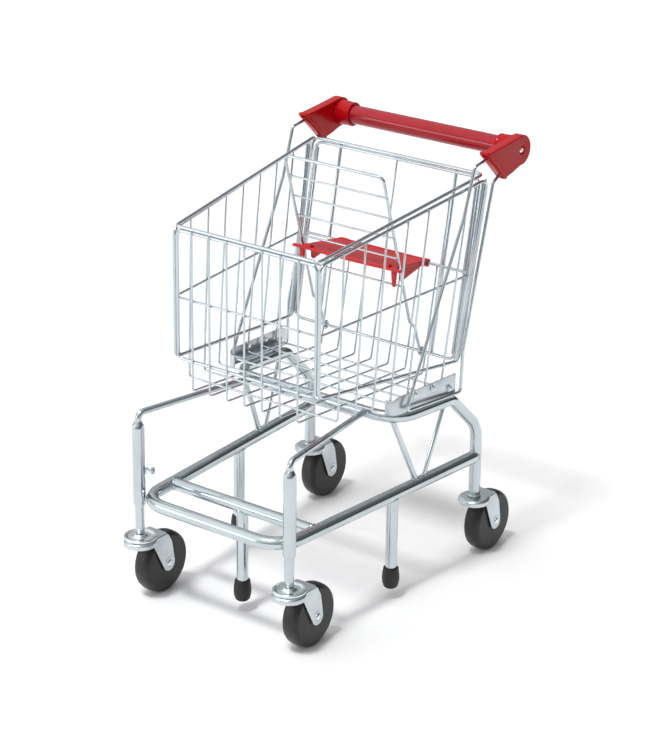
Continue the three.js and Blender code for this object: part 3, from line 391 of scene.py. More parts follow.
def moulded(name, body, worn, rough, coat, shine, grain=420.0, depth=0.05):
    """Injection-moulded plastic: even colour with faint flow clouds, orange peel and handling marks."""
    f = Finish(name, Coat_Weight=coat, Coat_Roughness=0.06, Specular_IOR_Level=shine)
    flow = f.between(f.noise(14.0, 3.0), 0.3, 0.7)
    rub = f.between(f.noise(55.0, 5.0, 0.7), 0.60, 0.78)
    f.feed(Base_Color=f.mixed(flow * 0.35 + rub * 0.45, tone(*body), tone(*worn)))
    f.feed(Roughness=f.between(rub * 0.6 + f.noise(180.0) * 0.4, 0.0, 1.0, rough - 0.05, rough + 0.18))
    f.bump(f.noise(grain, 2.0), depth)
    return f.material


def rubbery(name, body, dusty, rough):
    """Solid black rubber: dust lodged in a fine grain, scuffed a little lighter."""
    f = Finish(name, Specular_IOR_Level=0.45)
    dust = f.between(f.noise(60.0, 5.0, 0.65), 0.48, 0.80)
    grain = f.noise(700.0, 2.0)
    f.feed(Base_Color=f.mixed(dust * 0.7 + grain * 0.15, tone(*body), tone(*dusty)))
    f.feed(Roughness=f.between(dust, 0.0, 1.0, rough, rough + 0.15))
    f.bump(grain * 0.7 + f.noise(120.0) * 0.3, 0.14)
    return f.material


# each finish: the slot it goes in, and its material
TUBE_ZINC = "tube_steel", plated("tube_zinc", (0.585, 0.645, 0.665), (0.51, 0.57, 0.60), 0.13, 0.24)
WIRE_ZINC = "wire_steel", plated("wire_zinc", (0.585, 0.635, 0.665), (0.50, 0.555, 0.59), 0.15, 0.26, 420.0)
SHEET_ZINC = "sheet_steel", plated("sheet_zinc", (0.62, 0.67, 0.70), (0.52, 0.57, 0.61), 0.25, 0.40, 180.0)
BRIGHT_ZINC = (
    "bright_steel",
    plated("bright_zinc", (0.78, 0.83, 0.855), (0.68, 0.73, 0.77), 0.12, 0.24, 320.0),
)
GLOSS_RED = "red_plastic", moulded("gloss_red", (0.43, 0.002, 0.005), (0.48, 0.007, 0.011), 0.20, 0.04, 0.16)
HANDLE_RED = "red_plastic", moulded("handle_red", (0.34, 0.006, 0.014), (0.39, 0.02, 0.032), 0.13, 0.16, 0.3)
SEAT_RED = (
    "seat_plastic",
    moulded("seat_red", (0.53, 0.014, 0.018), (0.58, 0.045, 0.048), 0.36, 0.0, 0.32, 520.0, 0.12),
)
WHEEL_BLACK = "wheel_rubber", rubbery("wheel_black", (0.0125, 0.0115, 0.0112), (0.036, 0.034, 0.033), 0.40)
FOOT_BLACK = "rubber", rubbery("foot_black", (0.011, 0.0105, 0.010), (0.03, 0.029, 0.028), 0.48)

# ------------------------------------------------------------------ chassis lines
REACH = CORNER_R + SLEEVE_R + RAIL_R + 0.6
BEND_X = POST_X - REACH * math.cos(CORNER_TURN)
BEND_Y = REACH * math.sin(CORNER_TURN)
BOW_NOSE_Y = BEND_Y - CORNER_R
SPLAY = (LEG_X - (BEND_X + CORNER_R)) / (LEG_Y - BOW_NOSE_Y)
BOW_NOSE_X = BEND_X + CORNER_R - CORNER_R * SPLAY
CROSS_R, AIR, TURNING_AIR = RAIL_R - 0.4, 0.3, 0.45
# how far a tube's end is buried in the next tube; sides, steps in a bend and dome of a thick tube
BURIED, TUBE_SIDES, TUBE_STEPS, TUBE_DOME = 4, 28, 14, 0.1


def rail_x(y):
    """Half width of the lower bow at y: a straight line from the nose bend to the leg."""
    return lerp(BOW_NOSE_X, LEG_X, (y - BOW_NOSE_Y) / (LEG_Y - BOW_NOSE_Y))


def bed_z(y):
    """Height of the upper bow at y: it falls with the basket floor."""
    return UPPER_Z + BED_SLOPE * (y - UPPER_Y)


def upper_x(y):
    """Half width of the upper bow at y: a straight line from its front bend to the leg."""
    return lerp(UPPER_X, LEG_X, (y - UPPER_Y) / (LEG_Y - UPPER_Y))


def bead(centre, way, radius, size=1.5):
    """A weld: a ring of half-round section where a tube of that radius meets another piece."""
    a = np.linspace(-math.pi / 2, math.pi / 2, 6)
    section = np.c_[radius - 0.3 + size * np.cos(a), size * 1.25 * np.sin(a)]
    inner = [(radius - 1.2, size * 1.25), (radius - 1.2, -size * 1.25)]
    return turned(np.r_[section, inner], centre, way, 28, closed=True)


def saddle(meeting, way, along, radius, host, size=1.3):
    """The weld where a tube of that radius runs into a host tube at a meeting of their axes: the curve on
    which both surfaces lie, swept as a round bead. The tube comes in along way; the host lies along."""
    way, along = unit(way), unit(along)
    across = unit(np.cross(along, way))
    normal = np.cross(across, along)
    normal = normal * np.sign(normal @ way)
    side = np.cross(way, across)
    a = 2 * math.pi * np.arange(32)[:, None] / 32
    reach = -np.sqrt(np.maximum(host**2 - (radius * np.sin(a)) ** 2, 0.0))
    reach = (reach - radius * np.cos(a) * (side @ normal)) / (way @ normal)
    points = np.asarray(meeting, float) + reach * way + radius * (np.cos(a) * side + np.sin(a) * across)
    ways = unit(np.roll(points, -1, 0) - np.roll(points, 1, 0))
    return swept((points, ways), size, 10, True)


def lower_bow():
    """A tube swept round the nose from leg to leg, with a saddle weld at each leg."""
    corners = [(-LEG_X, LEG_Y - BURIED, RAIL_Z), (-BOW_NOSE_X, BOW_NOSE_Y, RAIL_Z)]
    corners += [(-x, y, z) for x, y, z in corners[::-1]]
    shapes = [wire(corners, CORNER_R, RAIL_R, TUBE_SIDES, steps=TUBE_STEPS, dome=TUBE_DOME)]
    for s in (-1, 1):
        shapes.append(saddle((s * LEG_X, LEG_Y, RAIL_Z), (0, 1, 0), (0, 0, 1), RAIL_R - 0.9, BOW_R, 1.5))
    piece("lower_bow_tube", shapes, "frame", TUBE_ZINC, "lower_bow")


def cross_tube():
    """A straight tube between the rails, with a saddle weld at either end."""
    x = rail_x(CROSS_Y) - 3.5
    tube = straight((-x, CROSS_Y, RAIL_Z), (x, CROSS_Y, RAIL_Z), CROSS_R, TUBE_SIDES, TUBE_DOME)
    rail = (LEG_X - BOW_NOSE_X, LEG_Y - BOW_NOSE_Y, 0)
    weld = saddle((rail_x(CROSS_Y), CROSS_Y, RAIL_Z), (1, 0, 0), rail, CROSS_R, RAIL_R)
    piece("cross_tube_bar", [tube, weld, mirrored(weld)], "frame", TUBE_ZINC, "cross_tube")


def upper_bow():
    """A tube swept up both rear legs, over the knees and across in front, with a collar at each fork."""
    half = [
        (LEG_X, LEG_Y, FORK_TOP + 0.4),
        (LEG_X, LEG_Y, KNEE_Z),
        (upper_x(KNEE_Y), KNEE_Y, bed_z(KNEE_Y)),
        (UPPER_X, UPPER_Y, UPPER_Z),
    ]
    corners = half + [(-x, y, z) for x, y, z in half[::-1]]
    radii = [LEG_BEND, KNEE_BEND, LEG_BEND, UPPER_BEND]
    radii += radii[::-1]
    bow = wire(corners, radii, BOW_R, TUBE_SIDES, steps=TUBE_STEPS, dome=TUBE_DOME)
    collars = [bead((s * LEG_X, LEG_Y, FORK_TOP + 1.9), (0, 0, 1), BOW_R, 1.5) for s in (-1, 1)]
    piece("upper_bow_tube", [bow, *collars], "frame", TUBE_ZINC, "upper_bow")


def props():
    """Three straight tubes hanging from the rails, each in a turned rubber foot."""
    places = (("centre", 0.0, CROSS_Y), ("left", -rail_x(PROP_Y), PROP_Y), ("right", rail_x(PROP_Y), PROP_Y))
    sole = [(1.0, 0), (FOOT_R * 0.62, 0), (FOOT_R * 0.84, 3.0), (FOOT_R * 0.97, 9.0), (FOOT_R, 14.0)]
    cuff = [(FOOT_R * 0.97, 20.0), (FOOT_R * 0.90, 26.0), (FOOT_R * 0.86, FOOT_HEIGHT)]
    lip = [(PROP_R + 0.15, FOOT_HEIGHT), (PROP_R + 0.15, FOOT_HEIGHT - 6), (1.0, FOOT_HEIGHT - 6)]
    profile = np.r_[soft_corners(sole + cuff, 3.0, 4), lip]
    for name, x, y in places:
        tube = straight((x, y, FOOT_BOTTOM + 11), (x, y, RAIL_Z - BURIED), PROP_R, 26, TUBE_DOME)
        rail, host = ((1, 0, 0), CROSS_R) if name == "centre" else ((SPLAY * np.sign(x), 1, 0), RAIL_R)
        weld = saddle((x, y, RAIL_Z), (0, 0, 1), rail, PROP_R, host, 1.4)
        piece(f"prop_tube_{name}", [tube, weld], "frame", TUBE_ZINC, f"prop_{name}")
        foot = turned(profile, (x, y, FOOT_BOTTOM), sides=40)
        piece(f"rubber_foot_{name}", [foot], "frame", FOOT_BLACK, f"foot_{name}")


def post_profile():
    """Half section of a post: the stem, the swaged step, the sleeve and its crimped shoulder."""
    foot, crimp = FORK_TOP + CUP_H + 0.8, ROD_R - 0.4
    line = [
        (1.0, foot),
        (STEM_R, foot),
        (STEM_R, SLEEVE_BOTTOM - 5),
        (SLEEVE_R, SLEEVE_BOTTOM),
        (SLEEVE_R, SLEEVE_TOP - 2),
        (SLEEVE_R - 0.8, SLEEVE_TOP + 1.5),
        (ROD_R + 0.6, SLEEVE_TOP + SHOULDER - 0.3),
        (crimp, SLEEVE_TOP + SHOULDER - 0.1),
        (crimp, SLEEVE_TOP - 6),
        (1.0, SLEEVE_TOP - 6),
    ]
    return soft_corners(line, [0.3, 1.0, 3.0, 2.0, 4.0, 4.0, 0.5, 0.3, 0.3, 0.3], 5)


def stay_rod(name, side):
    """A bent rod from the post's shoulder to the upper bow, with a turned run of weld at its end."""
    end = (side * (ROD_END_X + 2), UPPER_Y - 6, bed_z(UPPER_Y) + ROD_R + 1.2)
    corners = [(side * POST_X, 0, SLEEVE_TOP - 11), (side * POST_X, 0, ROD_Z), end]
    rod = wire(corners, 9, ROD_R, 20, steps=10, dome=0.6)
    tip = unit(np.subtract(corners[2], corners[1]))
    run = [(-1.6, -9), (0.1, -7), (1.3, -3), (0.9, 1.5), (-1.6, 2.6)]
    weld = turned([(ROD_R + r, h) for r, h in run], np.array(end) - tip * 1.0, tip, 24)
    piece(f"stay_bar_{name}", [rod, weld], "frame", TUBE_ZINC, f"stay_rod_{name}")


def clamp_bolt(name, side):
    """The bolt that clamps post to bow: nut, shank and round head turned on one axis."""
    way = unit((-side * 0.7, 0.7, 0))
    start = np.array([side * POST_X, 0, CLAMP_Z]) + way * (SLEEVE_R + 0.2)
    nut = turned([(1, 0), (4.6, 0), (5.1, 0.5), (5.1, 4.2), (4.6, 4.7), (1, 4.7)], start, way, 6)
    shank = turned([(1, 4), (2.3, 4), (2.3, 8), (1, 8)], start, way, 20)
    head = turned([(1, 7), (4.3, 7), (4.8, 7.4), (4.8, 10.4), (3.9, 12.0), (1, 12.3)], start, way, 28)
    shapes = [nut, shank, head]
    piece(f"clamp_fixing_{name}", shapes, "frame", BRIGHT_ZINC, f"clamp_bolt_{name}")


def posts():
    """Each swivel post with its stay rod and its clamp bolt."""
    for name, side in SIDES:
        post = turned(post_profile(), (side * POST_X, 0, 0), sides=40)
        piece(f"swivel_post_{name}", [post], "frame", TUBE_ZINC, f"post_{name}")
        stay_rod(name, side)
        clamp_bolt(name, side)


def strut(foot, head, radius, rail, bow):
    """A thin bar between the two bows with a weld bead at either end."""
    foot, head = np.array(foot), np.array(head)
    way = unit(head - foot)
    bar = straight(foot + way * (RAIL_R - 3), head - way * (BOW_R - 3), radius, 20, 0.1)
    size = 0.34 * radius
    return [bar, saddle(foot, -way, rail, radius, RAIL_R, size), saddle(head, way, bow, radius, BOW_R, size)]


def braces():
    """A thick and a thin strut on either side."""
    for name, side in SIDES:
        rail = (side * SPLAY, 1, 0)
        foot = (side * rail_x(BRACE_FOOT_Y), BRACE_FOOT_Y, RAIL_Z)
        head = (side * (UPPER_X - 12), UPPER_Y + 6, UPPER_Z)
        shapes = strut(foot, head, BRACE_R, rail, (side * 0.7, 0.7, 0))
        piece(f"brace_bar_{name}", shapes, "frame", TUBE_ZINC, f"brace_{name}")
        y = KNEE_Y - 14
        foot = (side * rail_x(BRACE_FOOT_Y + 11), BRACE_FOOT_Y + 11, RAIL_Z)
        shapes = strut(foot, (side * upper_x(y), y, bed_z(y)), TIE_R, rail, (0, 1, BED_SLOPE))
        piece(f"tie_bar_{name}", shapes, "frame", TUBE_ZINC, f"tie_{name}")


# ------------------------------------------------------------------ brackets
BRACKET_T, BRACKET_H, BRACKET_FRONT, BRACKET_REAR = 1.6, 29.0, UPPER_Y - 4, STAY_TAIL_Y - STAY_R - 6
# height of the web at its nose, as a share, and how far behind the front it reaches the full height
NOSE_SHARE, NOSE_RUN = 0.66, 14
# each bolt's share of the way back and of the height
BOLTS = ((0.3, 0.72), (0.6, 0.72), (0.89, 0.4))
# profiles of (radius, height), with the number of flats round each
FIXING = (
    ([(0.6, 0.1), (5.1, 0.1), (5.2, 0.3), (5.2, 0.7), (5.1, 0.9), (0.6, 0.9)], 32),
    ([(0.6, 0.8), (3.9, 0.8), (4.3, 1.2), (4.3, 3.1), (3.9, 3.5), (0.6, 3.5)], 6),
    ([(0.4, 3.3), (2.0, 3.3), (2.0, 4.7), (1.5, 5.2), (0.4, 5.2)], 20),
    ([(0.6, -4.9), (3.9, -4.9), (4.3, -4.5), (4.3, -2.3), (3.9, -1.8), (0.6, -1.8)], 6),
    ([(0.4, -5.9), (1.7, -5.9), (2.0, -5.6), (2.0, -4.7), (0.4, -4.7)], 20),
)


def web_x(y):
    """The web's outer face at y: it keeps clear of the leaning stay."""
    return lerp(STAY_X - STAY_R - 4.5, STAY_X - STAY_R - 0.3, (y - UPPER_Y) / (STAY_TAIL_Y - UPPER_Y))


def sloped(shape, foot):
    """Lifts a shape drawn on the level to the slope of the bed."""
    return lifted(shape, foot + BED_SLOPE * (shape[0][:, 1] - BRACKET_FRONT))


def bracket_web(foot):
    """The upright sheet: a line with a rounded nose, given a thickness square to itself and a height that
    falls to a share of its own at the nose."""
    a, b = BRACKET_FRONT, BRACKET_REAR
    outside = [(web_x(a) - 14, a - 7), (web_x(a) - 0.5, a - 6), (web_x(b), b)]
    line = soft_corners(outside, 12.0, 12)
    way = unit(np.gradient(line, axis=0))
    inside = line - np.c_[way[:, 1], -way[:, 0]] * BRACKET_T
    points, faces = plate(np.r_[line, inside[::-1]], 0, BRACKET_H, 0.35, 2)
    share = np.interp(points[:, 1], [a - 7, a + NOSE_RUN], [NOSE_SHARE, 1.0])
    return sloped((points * np.c_[np.ones((len(points), 2)), share], faces), foot)


def bracket_shelf(foot):
    """The flange folded in from the web, just under the floor wires."""
    a, b, depth = BRACKET_FRONT, BRACKET_REAR, 17
    low = FLOOR_FRONT_Z + BED_SLOPE * (a - NOSE_Y) + CROSS_RISE - MESH_R - AIR - foot - BRACKET_T
    start, end = a + NOSE_RUN, lerp(a, b, BOLTS[2][0]) - 6
    front, rear = web_x(start), web_x(end)
    flange = [(front - 1, start), (rear - 1, end), (rear - depth, end - 3), (front - depth, start + 3)]
    outline = soft_corners(flange, [0.5, 0.5, 5, 5], 5, True)
    return sloped(plate(outline, low, low + BRACKET_T, 0.4, 2), foot)


def brackets():
    """The bracket and its three bolts on either side."""
    foot = bed_z(BRACKET_FRONT) + BOW_R + AIR
    sheet = [bracket_web(foot), bracket_shelf(foot)]
    for name, side in SIDES:
        both = [on_side(shape, side) for shape in sheet]
        piece(f"bracket_sheet_{name}", both, "frame", SHEET_ZINC, f"bracket_{name}")
        for i, (t, up) in enumerate(BOLTS):
            y = lerp(BRACKET_FRONT, BRACKET_REAR, t)
            spot = np.array([web_x(y), y, bed_z(y) + BOW_R + AIR + BRACKET_H * up])
            shapes = [on_side(turned(line, spot, (1, 0, 0), flats), side) for line, flats in FIXING]
            label = f"bracket_bolt_{name}_{i + 1}"
            piece(f"head_{label}", shapes, "frame", BRIGHT_ZINC, label)


# ------------------------------------------------------------------ casters
def cheek(trail):
    """Outline of a fork cheek in (y, z): from the plate down round the axle."""
    turn = np.radians(np.linspace(200, 372, 16))
    eye = np.c_[trail + EYE_R * np.cos(turn), AXLE_Z + EYE_R * np.sin(turn)]
    y, z = -PLATE_R * 0.5, FORK_TOP - SKIRT
    front = [(y, FORK_TOP - 3), (y, z), (trail * 0.2, z)]
    back = [(trail + 6, FORK_TOP - 17), (trail * 0.95, FORK_TOP - 3)]
    top = soft_corners([*back, *front], [6, 4, 3, 3, 6], 5)
    return np.r_[eye, top]


def skirted_plate():
    """The fork's round domed top: a turned skin with a thickness, closed on itself."""
    top, low, wall = FORK_TOP, FORK_TOP - SKIRT, PLATE_R - 1.6
    outer = [(4.6, top), (PLATE_R - 3, top - 0.3), (PLATE_R, top - 3), (PLATE_R, low)]
    inner = [(wall, low), (wall, top - 3.4), (PLATE_R - 4, top - 1.9), (4.6, top - 1.9)]
    profile = soft_corners(outer + inner, [0.3, 3.0, 2.4, 0.5, 0.5, 1.6, 2.0, 0.3], 4, True)
    return turned(profile[::-1], sides=56, closed=True)


def fork_shapes(trail):
    """Two cheeks with a turned boss at each eye, the domed plate and the flat bridge to the cheeks."""
    out = CHEEK_IN + CHEEK_T
    cheeks = [upright_plate(cheek(trail), s * CHEEK_IN, s * out, 0.5) for s in (-1, 1)]
    ring = [(5.6, 0), (8.2, 0), (8.8, 0.5), (8.2, 0.9), (5.6, 0.9)]
    bosses = [turned(ring, (s * (out - 0.5), trail, AXLE_Z), (s, 0, 0), 36, closed=True) for s in (-1, 1)]
    y0, y1 = -PLATE_R * 0.5, trail * 0.9
    outline = soft_corners(oblong(out, y0, y1), 2.0, 4, True)
    bridge = plate(outline, FORK_TOP - 2.2, FORK_TOP - 0.4, 0.6)
    return [*cheeks, *bosses, skirted_plate(), bridge]


def wheel_shapes():
    """Solid wheel about the x axis: rounded tread, a fine mould line and stepped hub faces."""
    r, h, bore, hub = WHEEL_D / 2, WHEEL_T / 2, 4.2, WHEEL_T / 2 + 0.5
    face = [(5.0, hub), (8.6, hub), (9.4, h - 0.3), (11.5, h - 0.6), (13, h), (r - 6.0, h)]
    line = face + [(r - 1.6, h - 3.0), (r - 0.4, 5.0), (r - 0.18, 0.55), (r, 0.0)]
    full = [(a, -b) for a, b in line] + line[-2::-1]
    radii = [0.3, 0.5, 0.5, 1, 1, 4, 4, 4, 0.2, 0.1]
    profile = soft_corners(full, radii + radii[-2::-1], 5)
    return [turned(np.r_[profile, [(bore, hub), (bore, -hub)]], (0, 0, 0), (1, 0, 0), 96, closed=True)]


def axle_shapes():
    """The axle about the x axis, with the same riveted head at either end."""
    out = CHEEK_IN + CHEEK_T + 0.2
    head = [(0.8, 1.7), (3.0, 1.6), (4.6, 1.0), (5.1, 0.2), (5.1, -0.1), (AXLE_R, -0.1)]
    line = [(r, -out - h) for r, h in head] + [(r, out + h) for r, h in head[::-1]]
    return [turned(line, (0, 0, 0), (1, 0, 0), 32)]


def cup_shapes():
    """The race cup round the foot of the post, and the pin that runs down through the fork's plate."""
    low = FORK_TOP + 0.2
    line = [
        (2.0, low),
        (CUP_R - 2, low),
        (CUP_R, low + 1.0),
        (CUP_R, low + 3.4),
        (CUP_R - 1.4, low + 4.7),
        (CUP_R - 3.4, low + 3.8),
        (CUP_R - 6, low + 2.4),
        (10.5, low + 2.8),
        (STEM_R + 0.8, low + CUP_H - 0.2),
        (STEM_R - 0.5, low + CUP_H),
        (2.0, low + CUP_H),
    ]
    race = turned(soft_corners(line, [0.3, 1.2, 1, 1, 1, 1, 2, 3, 1, 0.3, 0.3], 4), sides=64)
    line = [(1, 83.7), (6.2, 83.7), (7, 84.3), (7, 87.2), (3.9, 87.6), (3.9, low + 1), (1, low + 1)]
    return [race, turned(line, sides=32)]


def placed(shapes, x, y, z=0.0):
    """Several shapes shifted by the same step."""
    return [moved(shape, x, y, z) for shape in shapes]


def caster(end, name, body, x, y, trail):
    """A fork, its axle and its wheel, trailing behind the point where the fork is held."""
    fork = placed(fork_shapes(trail), x, y)
    piece(f"{end}_fork_sheet_{name}", fork, body, SHEET_ZINC, f"{end}_fork_{name}")
    axle = placed(axle_shapes(), x, y + trail, AXLE_Z)
    piece(f"{end}_rivet_{name}", axle, body, BRIGHT_ZINC, f"{end}_axle_{name}")
    wheel = placed(wheel_shapes(), x, y + trail, AXLE_Z)
    piece(f"{end}_tyre_{name}", wheel, f"wheel_{end}_{name}", WHEEL_BLACK, f"{end}_wheel_{name}")


def casters():
    """Swivel casters under the posts, in their cups, and fixed ones under the legs."""
    for name, side in SIDES:
        x = side * POST_X
        cup = placed(cup_shapes(), x, 0)
        piece(f"race_cup_{name}", cup, "frame", BRIGHT_ZINC, f"caster_cup_{name}", crease=50)
        caster("front", name, f"swivel_{name}", x, 0, TRAIL_FRONT)
        caster("rear", name, "frame", side * LEG_X, LEG_Y, TRAIL_REAR)


# ------------------------------------------------------------------ basket
RIM_REAR_Y = NOSE_Y + BASKET_LENGTH
TAIL_LOW_Y = RIM_REAR_Y - TAIL_LEAN
TAIL_X = RIM_REAR_X - 1.5 - STEP_SIDE
TAIL_TOP = RIM_Z + RIM_RISE - STEP_SIDE
# how far a wire runs past the frame wire it is welded to, how far out its nuggets sit, the stout middle wire
OVERHANG, NUGGET_OUT, MIDDLE_R = 0.6, 1.7, MESH_R * 1.15


def tail_y(z):
    """The leaning plane of the tail panel at height z."""
    return lerp(TAIL_LOW_Y, RIM_REAR_Y, (z - LOOP_REAR_Z) / (RIM_Z + RIM_RISE - LOOP_REAR_Z))


def floor_z(y):
    """Height of the sloping floor at y."""
    return lerp(FLOOR_FRONT_Z, FLOOR_REAR_Z, (y - NOSE_Y) / (FLOOR_REAR_Y - NOSE_Y))


def bay_x(i):
    """Where the wire between two bays stands."""
    return (i - BAYS / 2) * (2 * (RIM_FRONT_X - 2) / BAYS)


def side_corners(side):
    """The four corners of a side panel's frame, from the top front round to the bottom front."""
    front, top = side * (NOSE_X + STEP_SIDE), RIM_Z + RIM_RISE - STEP_SIDE
    return [
        np.array([front, NOSE_Y, RIM_Z - STEP_SIDE]),
        np.array([side * (RIM_REAR_X + SIDE_OUT), tail_y(top) + FRAME_R, top]),
        np.array([side * (RIM_REAR_X - 1.5), TAIL_LOW_Y + FRAME_R, LOOP_REAR_Z]),
        np.array([front, NOSE_Y, LOOP_FRONT_Z]),
    ]


def nugget(spot, size=1.0):
    """A spot weld where two wires cross: a small flattened bead."""
    a = np.radians([8, 40, 90, 140, 172])
    return turned(np.c_[np.sin(a), -np.cos(a)] * [2.3 * size, 1.5 * size], spot, (0.3, 0.5, 0.8), 8)


def wire_piece(name, shapes, body, *nodes):
    """A piece of plated wire, smooth over its small angles."""
    piece(name, shapes, body, WIRE_ZINC, *nodes, crease=60)


def basket_rim():
    """One closed wire round the top of the basket."""
    x0, x1, z1 = RIM_FRONT_X - FRAME_R, RIM_REAR_X - FRAME_R, RIM_Z + RIM_RISE
    corners = [(-x0, NOSE_Y, RIM_Z), (x0, NOSE_Y, RIM_Z), (x1, RIM_REAR_Y, z1), (-x1, RIM_REAR_Y, z1)]
    wire_piece("rim_wire", [wire(corners, 7, EDGE_R, 16, True)], "frame", "basket_rim")


def nose_panel():
    """A closed frame wire in front, a level middle wire, and upright wires welded outside them."""
    top, low = RIM_Z - STEP_SIDE, LOOP_FRONT_Z
    shapes = [wire([(x, NOSE_Y, z) for x, z in oblong(NOSE_X, top, low)], 9, EDGE_R, 16, True)]
    shapes.append(straight((-NOSE_X, NOSE_Y, MID_FRONT_Z), (NOSE_X, NOSE_Y, MID_FRONT_Z), MIDDLE_R))
    for i in range(1, BAYS):
        x, y = bay_x(i), NOSE_Y - WELD
        shapes.append(straight((x, y, low - FRAME_R - OVERHANG), (x, y, top + FRAME_R * 0.6), MESH_R))
        shapes += [nugget((x, NOSE_Y - NUGGET_OUT, z)) for z in (low, MID_FRONT_Z, top)]
    wire_piece("nose_wires", shapes, "frame", "basket_nose")


def side_panel(name, side):
    """A closed frame wire at one side, a middle wire, uprights outside and two stout wires behind."""
    c = side_corners(side)
    shapes = [wire(c, 10, EDGE_R, 16, True)]
    out = np.array([side * WELD, 0, 0])
    front = lerp(c[3], c[0], (MID_FRONT_Z - c[3][2]) / (c[0][2] - c[3][2]))
    rear = lerp(c[2], c[1], (MID_REAR_Z - c[2][2]) / (c[1][2] - c[2][2]))
    shapes.append(straight(front, rear, MIDDLE_R))
    for i in range(1, BAYS):
        high, low = lerp(c[0], c[1], i / BAYS), lerp(c[3], c[2], i / BAYS)
        way = unit(high - low)
        foot, head = low - way * (FRAME_R + OVERHANG), high + way * FRAME_R * 0.6
        shapes.append(straight(foot + out, head + out, MESH_R))
        middle = lerp(front, rear, i / BAYS)
        shapes += [nugget(p + out * 0.6) for p in (low, high, middle)]
    pitch = 2.05 * FRAME_R / BASKET_LENGTH
    for t in (1 - pitch, 1 - 2 * pitch):
        shapes.append(straight(lerp(c[3], c[2], t), lerp(c[0], c[1], t), FRAME_R, 16))
    wire_piece(f"side_wires_{name}", shapes, "frame", f"basket_side_{name}")


def tail_point(x, z):
    """A point of the tail panel, from its x and its height."""
    return np.array([x, tail_y(z), z])


def tail_panel():
    """A closed frame wire behind, its hinge wire, short uprights under it and stout ones to the top."""
    corners = [tail_point(x, z) for x, z in oblong(TAIL_X, TAIL_TOP, LOOP_REAR_Z)]
    shapes = [wire(corners, 12, FRAME_R, 16, True)]
    lean = unit((0, 1, -TAIL_LEAN / (RIM_Z + RIM_RISE - LOOP_REAR_Z)))

    def upright(x, z0, z1, r, sides=12):
        """A wire welded behind the panel, from one height to another."""
        off = lean * (FRAME_R + r - SINK)
        return straight(tail_point(x, z0) + off, tail_point(x, z1) + off, r, sides)

    shapes.append(straight(tail_point(-TAIL_X, MID_REAR_Z), tail_point(TAIL_X, MID_REAR_Z), FRAME_R, 16))
    shapes += [upright(s * STOUT_X, LOOP_REAR_Z - 2, TAIL_TOP + 1, STOUT_R, 16) for s in (-1, 1)]
    for i in range(1, BAYS):
        shapes.append(upright(bay_x(i), LOOP_REAR_Z - FRAME_R - OVERHANG, MID_REAR_Z + 1, MESH_R))
        shapes += [nugget(tail_point(bay_x(i), z) + lean * NUGGET_OUT) for z in (LOOP_REAR_Z, MID_REAR_Z)]
    shapes.append(upright(0, MID_REAR_Z - 1, TAIL_TOP + 1, MESH_R))
    x, low, high = TAIL_X - 2.05 * FRAME_R, LOOP_REAR_Z + 8, TAIL_TOP - 8
    shapes += [straight(tail_point(s * x, low), tail_point(s * x, high), FRAME_R, 16) for s in (-1, 1)]
    wire_piece("tail_wires", shapes, "frame", "basket_tail")


def basket_floor():
    """Wires from nose to tail, turned up at both ends, and wires across them that rise up both sides."""
    shapes = []
    for i in range(1, BAYS):
        x = bay_x(i)
        z, zr = LOOP_FRONT_Z - FRAME_R - 1.0, LOOP_REAR_Z - FRAME_R - 2.0
        corners = [
            (x, NOSE_Y - WELD, z),
            (x, NOSE_Y - WELD, FLOOR_FRONT_Z),
            (x, tail_y(FLOOR_REAR_Z) + WELD, FLOOR_REAR_Z),
            (x, tail_y(zr) + WELD, zr),
        ]
        shapes.append(wire(corners, 5, MESH_R))
    c = side_corners(1)
    for i in range(1, BAYS):
        foot, head = lerp(c[3], c[2], i / BAYS), lerp(c[0], c[1], i / BAYS)
        way = unit(head - foot)
        start = foot - way * (FRAME_R + 1.0)
        bend = start - way * (start[2] - floor_z(foot[1])) / way[2]
        bend[2] = floor_z(bend[1]) + CROSS_RISE
        start[0] += WELD
        bend[0] += WELD
        flip = np.array([-1, 1, 1])
        shapes.append(wire([start, bend, bend * flip, start * flip], 5, MESH_R))
        shapes += [nugget((bay_x(k), bend[1], bend[2] - 1.1), 0.8) for k in range(1, BAYS)]
    wire_piece("floor_wires", shapes, "frame", "basket_floor")


# ------------------------------------------------------------------ handle
def stay_x(z):
    """A stay leans out evenly, from the bracket to the middle of the housing."""
    return lerp(STAY_X, (HOUSING_OUT + HOUSING_IN) / 2, (z - STAY_NOSE_Z) / (HANDLE_Z - STAY_NOSE_Z))


def handle_stay(name, side):
    """One wire bent in a long U: down to the bracket, along it and back up."""
    line = [
        (MOUTH_TOP[0] + 16, MOUTH_TOP[1] - 8),
        (351, 569),
        (330, 505),
        (STAY_NOSE_Y, STAY_NOSE_Z),
        (STAY_TAIL_Y, STAY_TAIL_Z),
        (341, 318),
        (396, 538),
        (MOUTH_LOW[0] + 3, MOUTH_LOW[1] + 8),
    ]
    corners = [(side * stay_x(z), y, z) for y, z in line]
    wire_piece(f"stay_wire_{name}", [wire(corners, 6, STAY_R, 16)], "frame", f"handle_stay_{name}")


def handle_bar():
    """A turned tube with softened ends."""
    half = HOUSING_OUT - 7
    wall = [(HANDLE_R, -half + 0.3), (HANDLE_R, half - 0.3), (HANDLE_R - 0.3, half), (HANDLE_R - 1.4, half)]
    profile = wall + [(HANDLE_R - 1.4, -half), (HANDLE_R - 0.3, -half)]
    tube = turned(profile, (0, HANDLE_Y, HANDLE_Z), (1, 0, 0), 72, closed=True)
    piece("grip_tube", [tube], "frame", HANDLE_RED, "handle_tube")


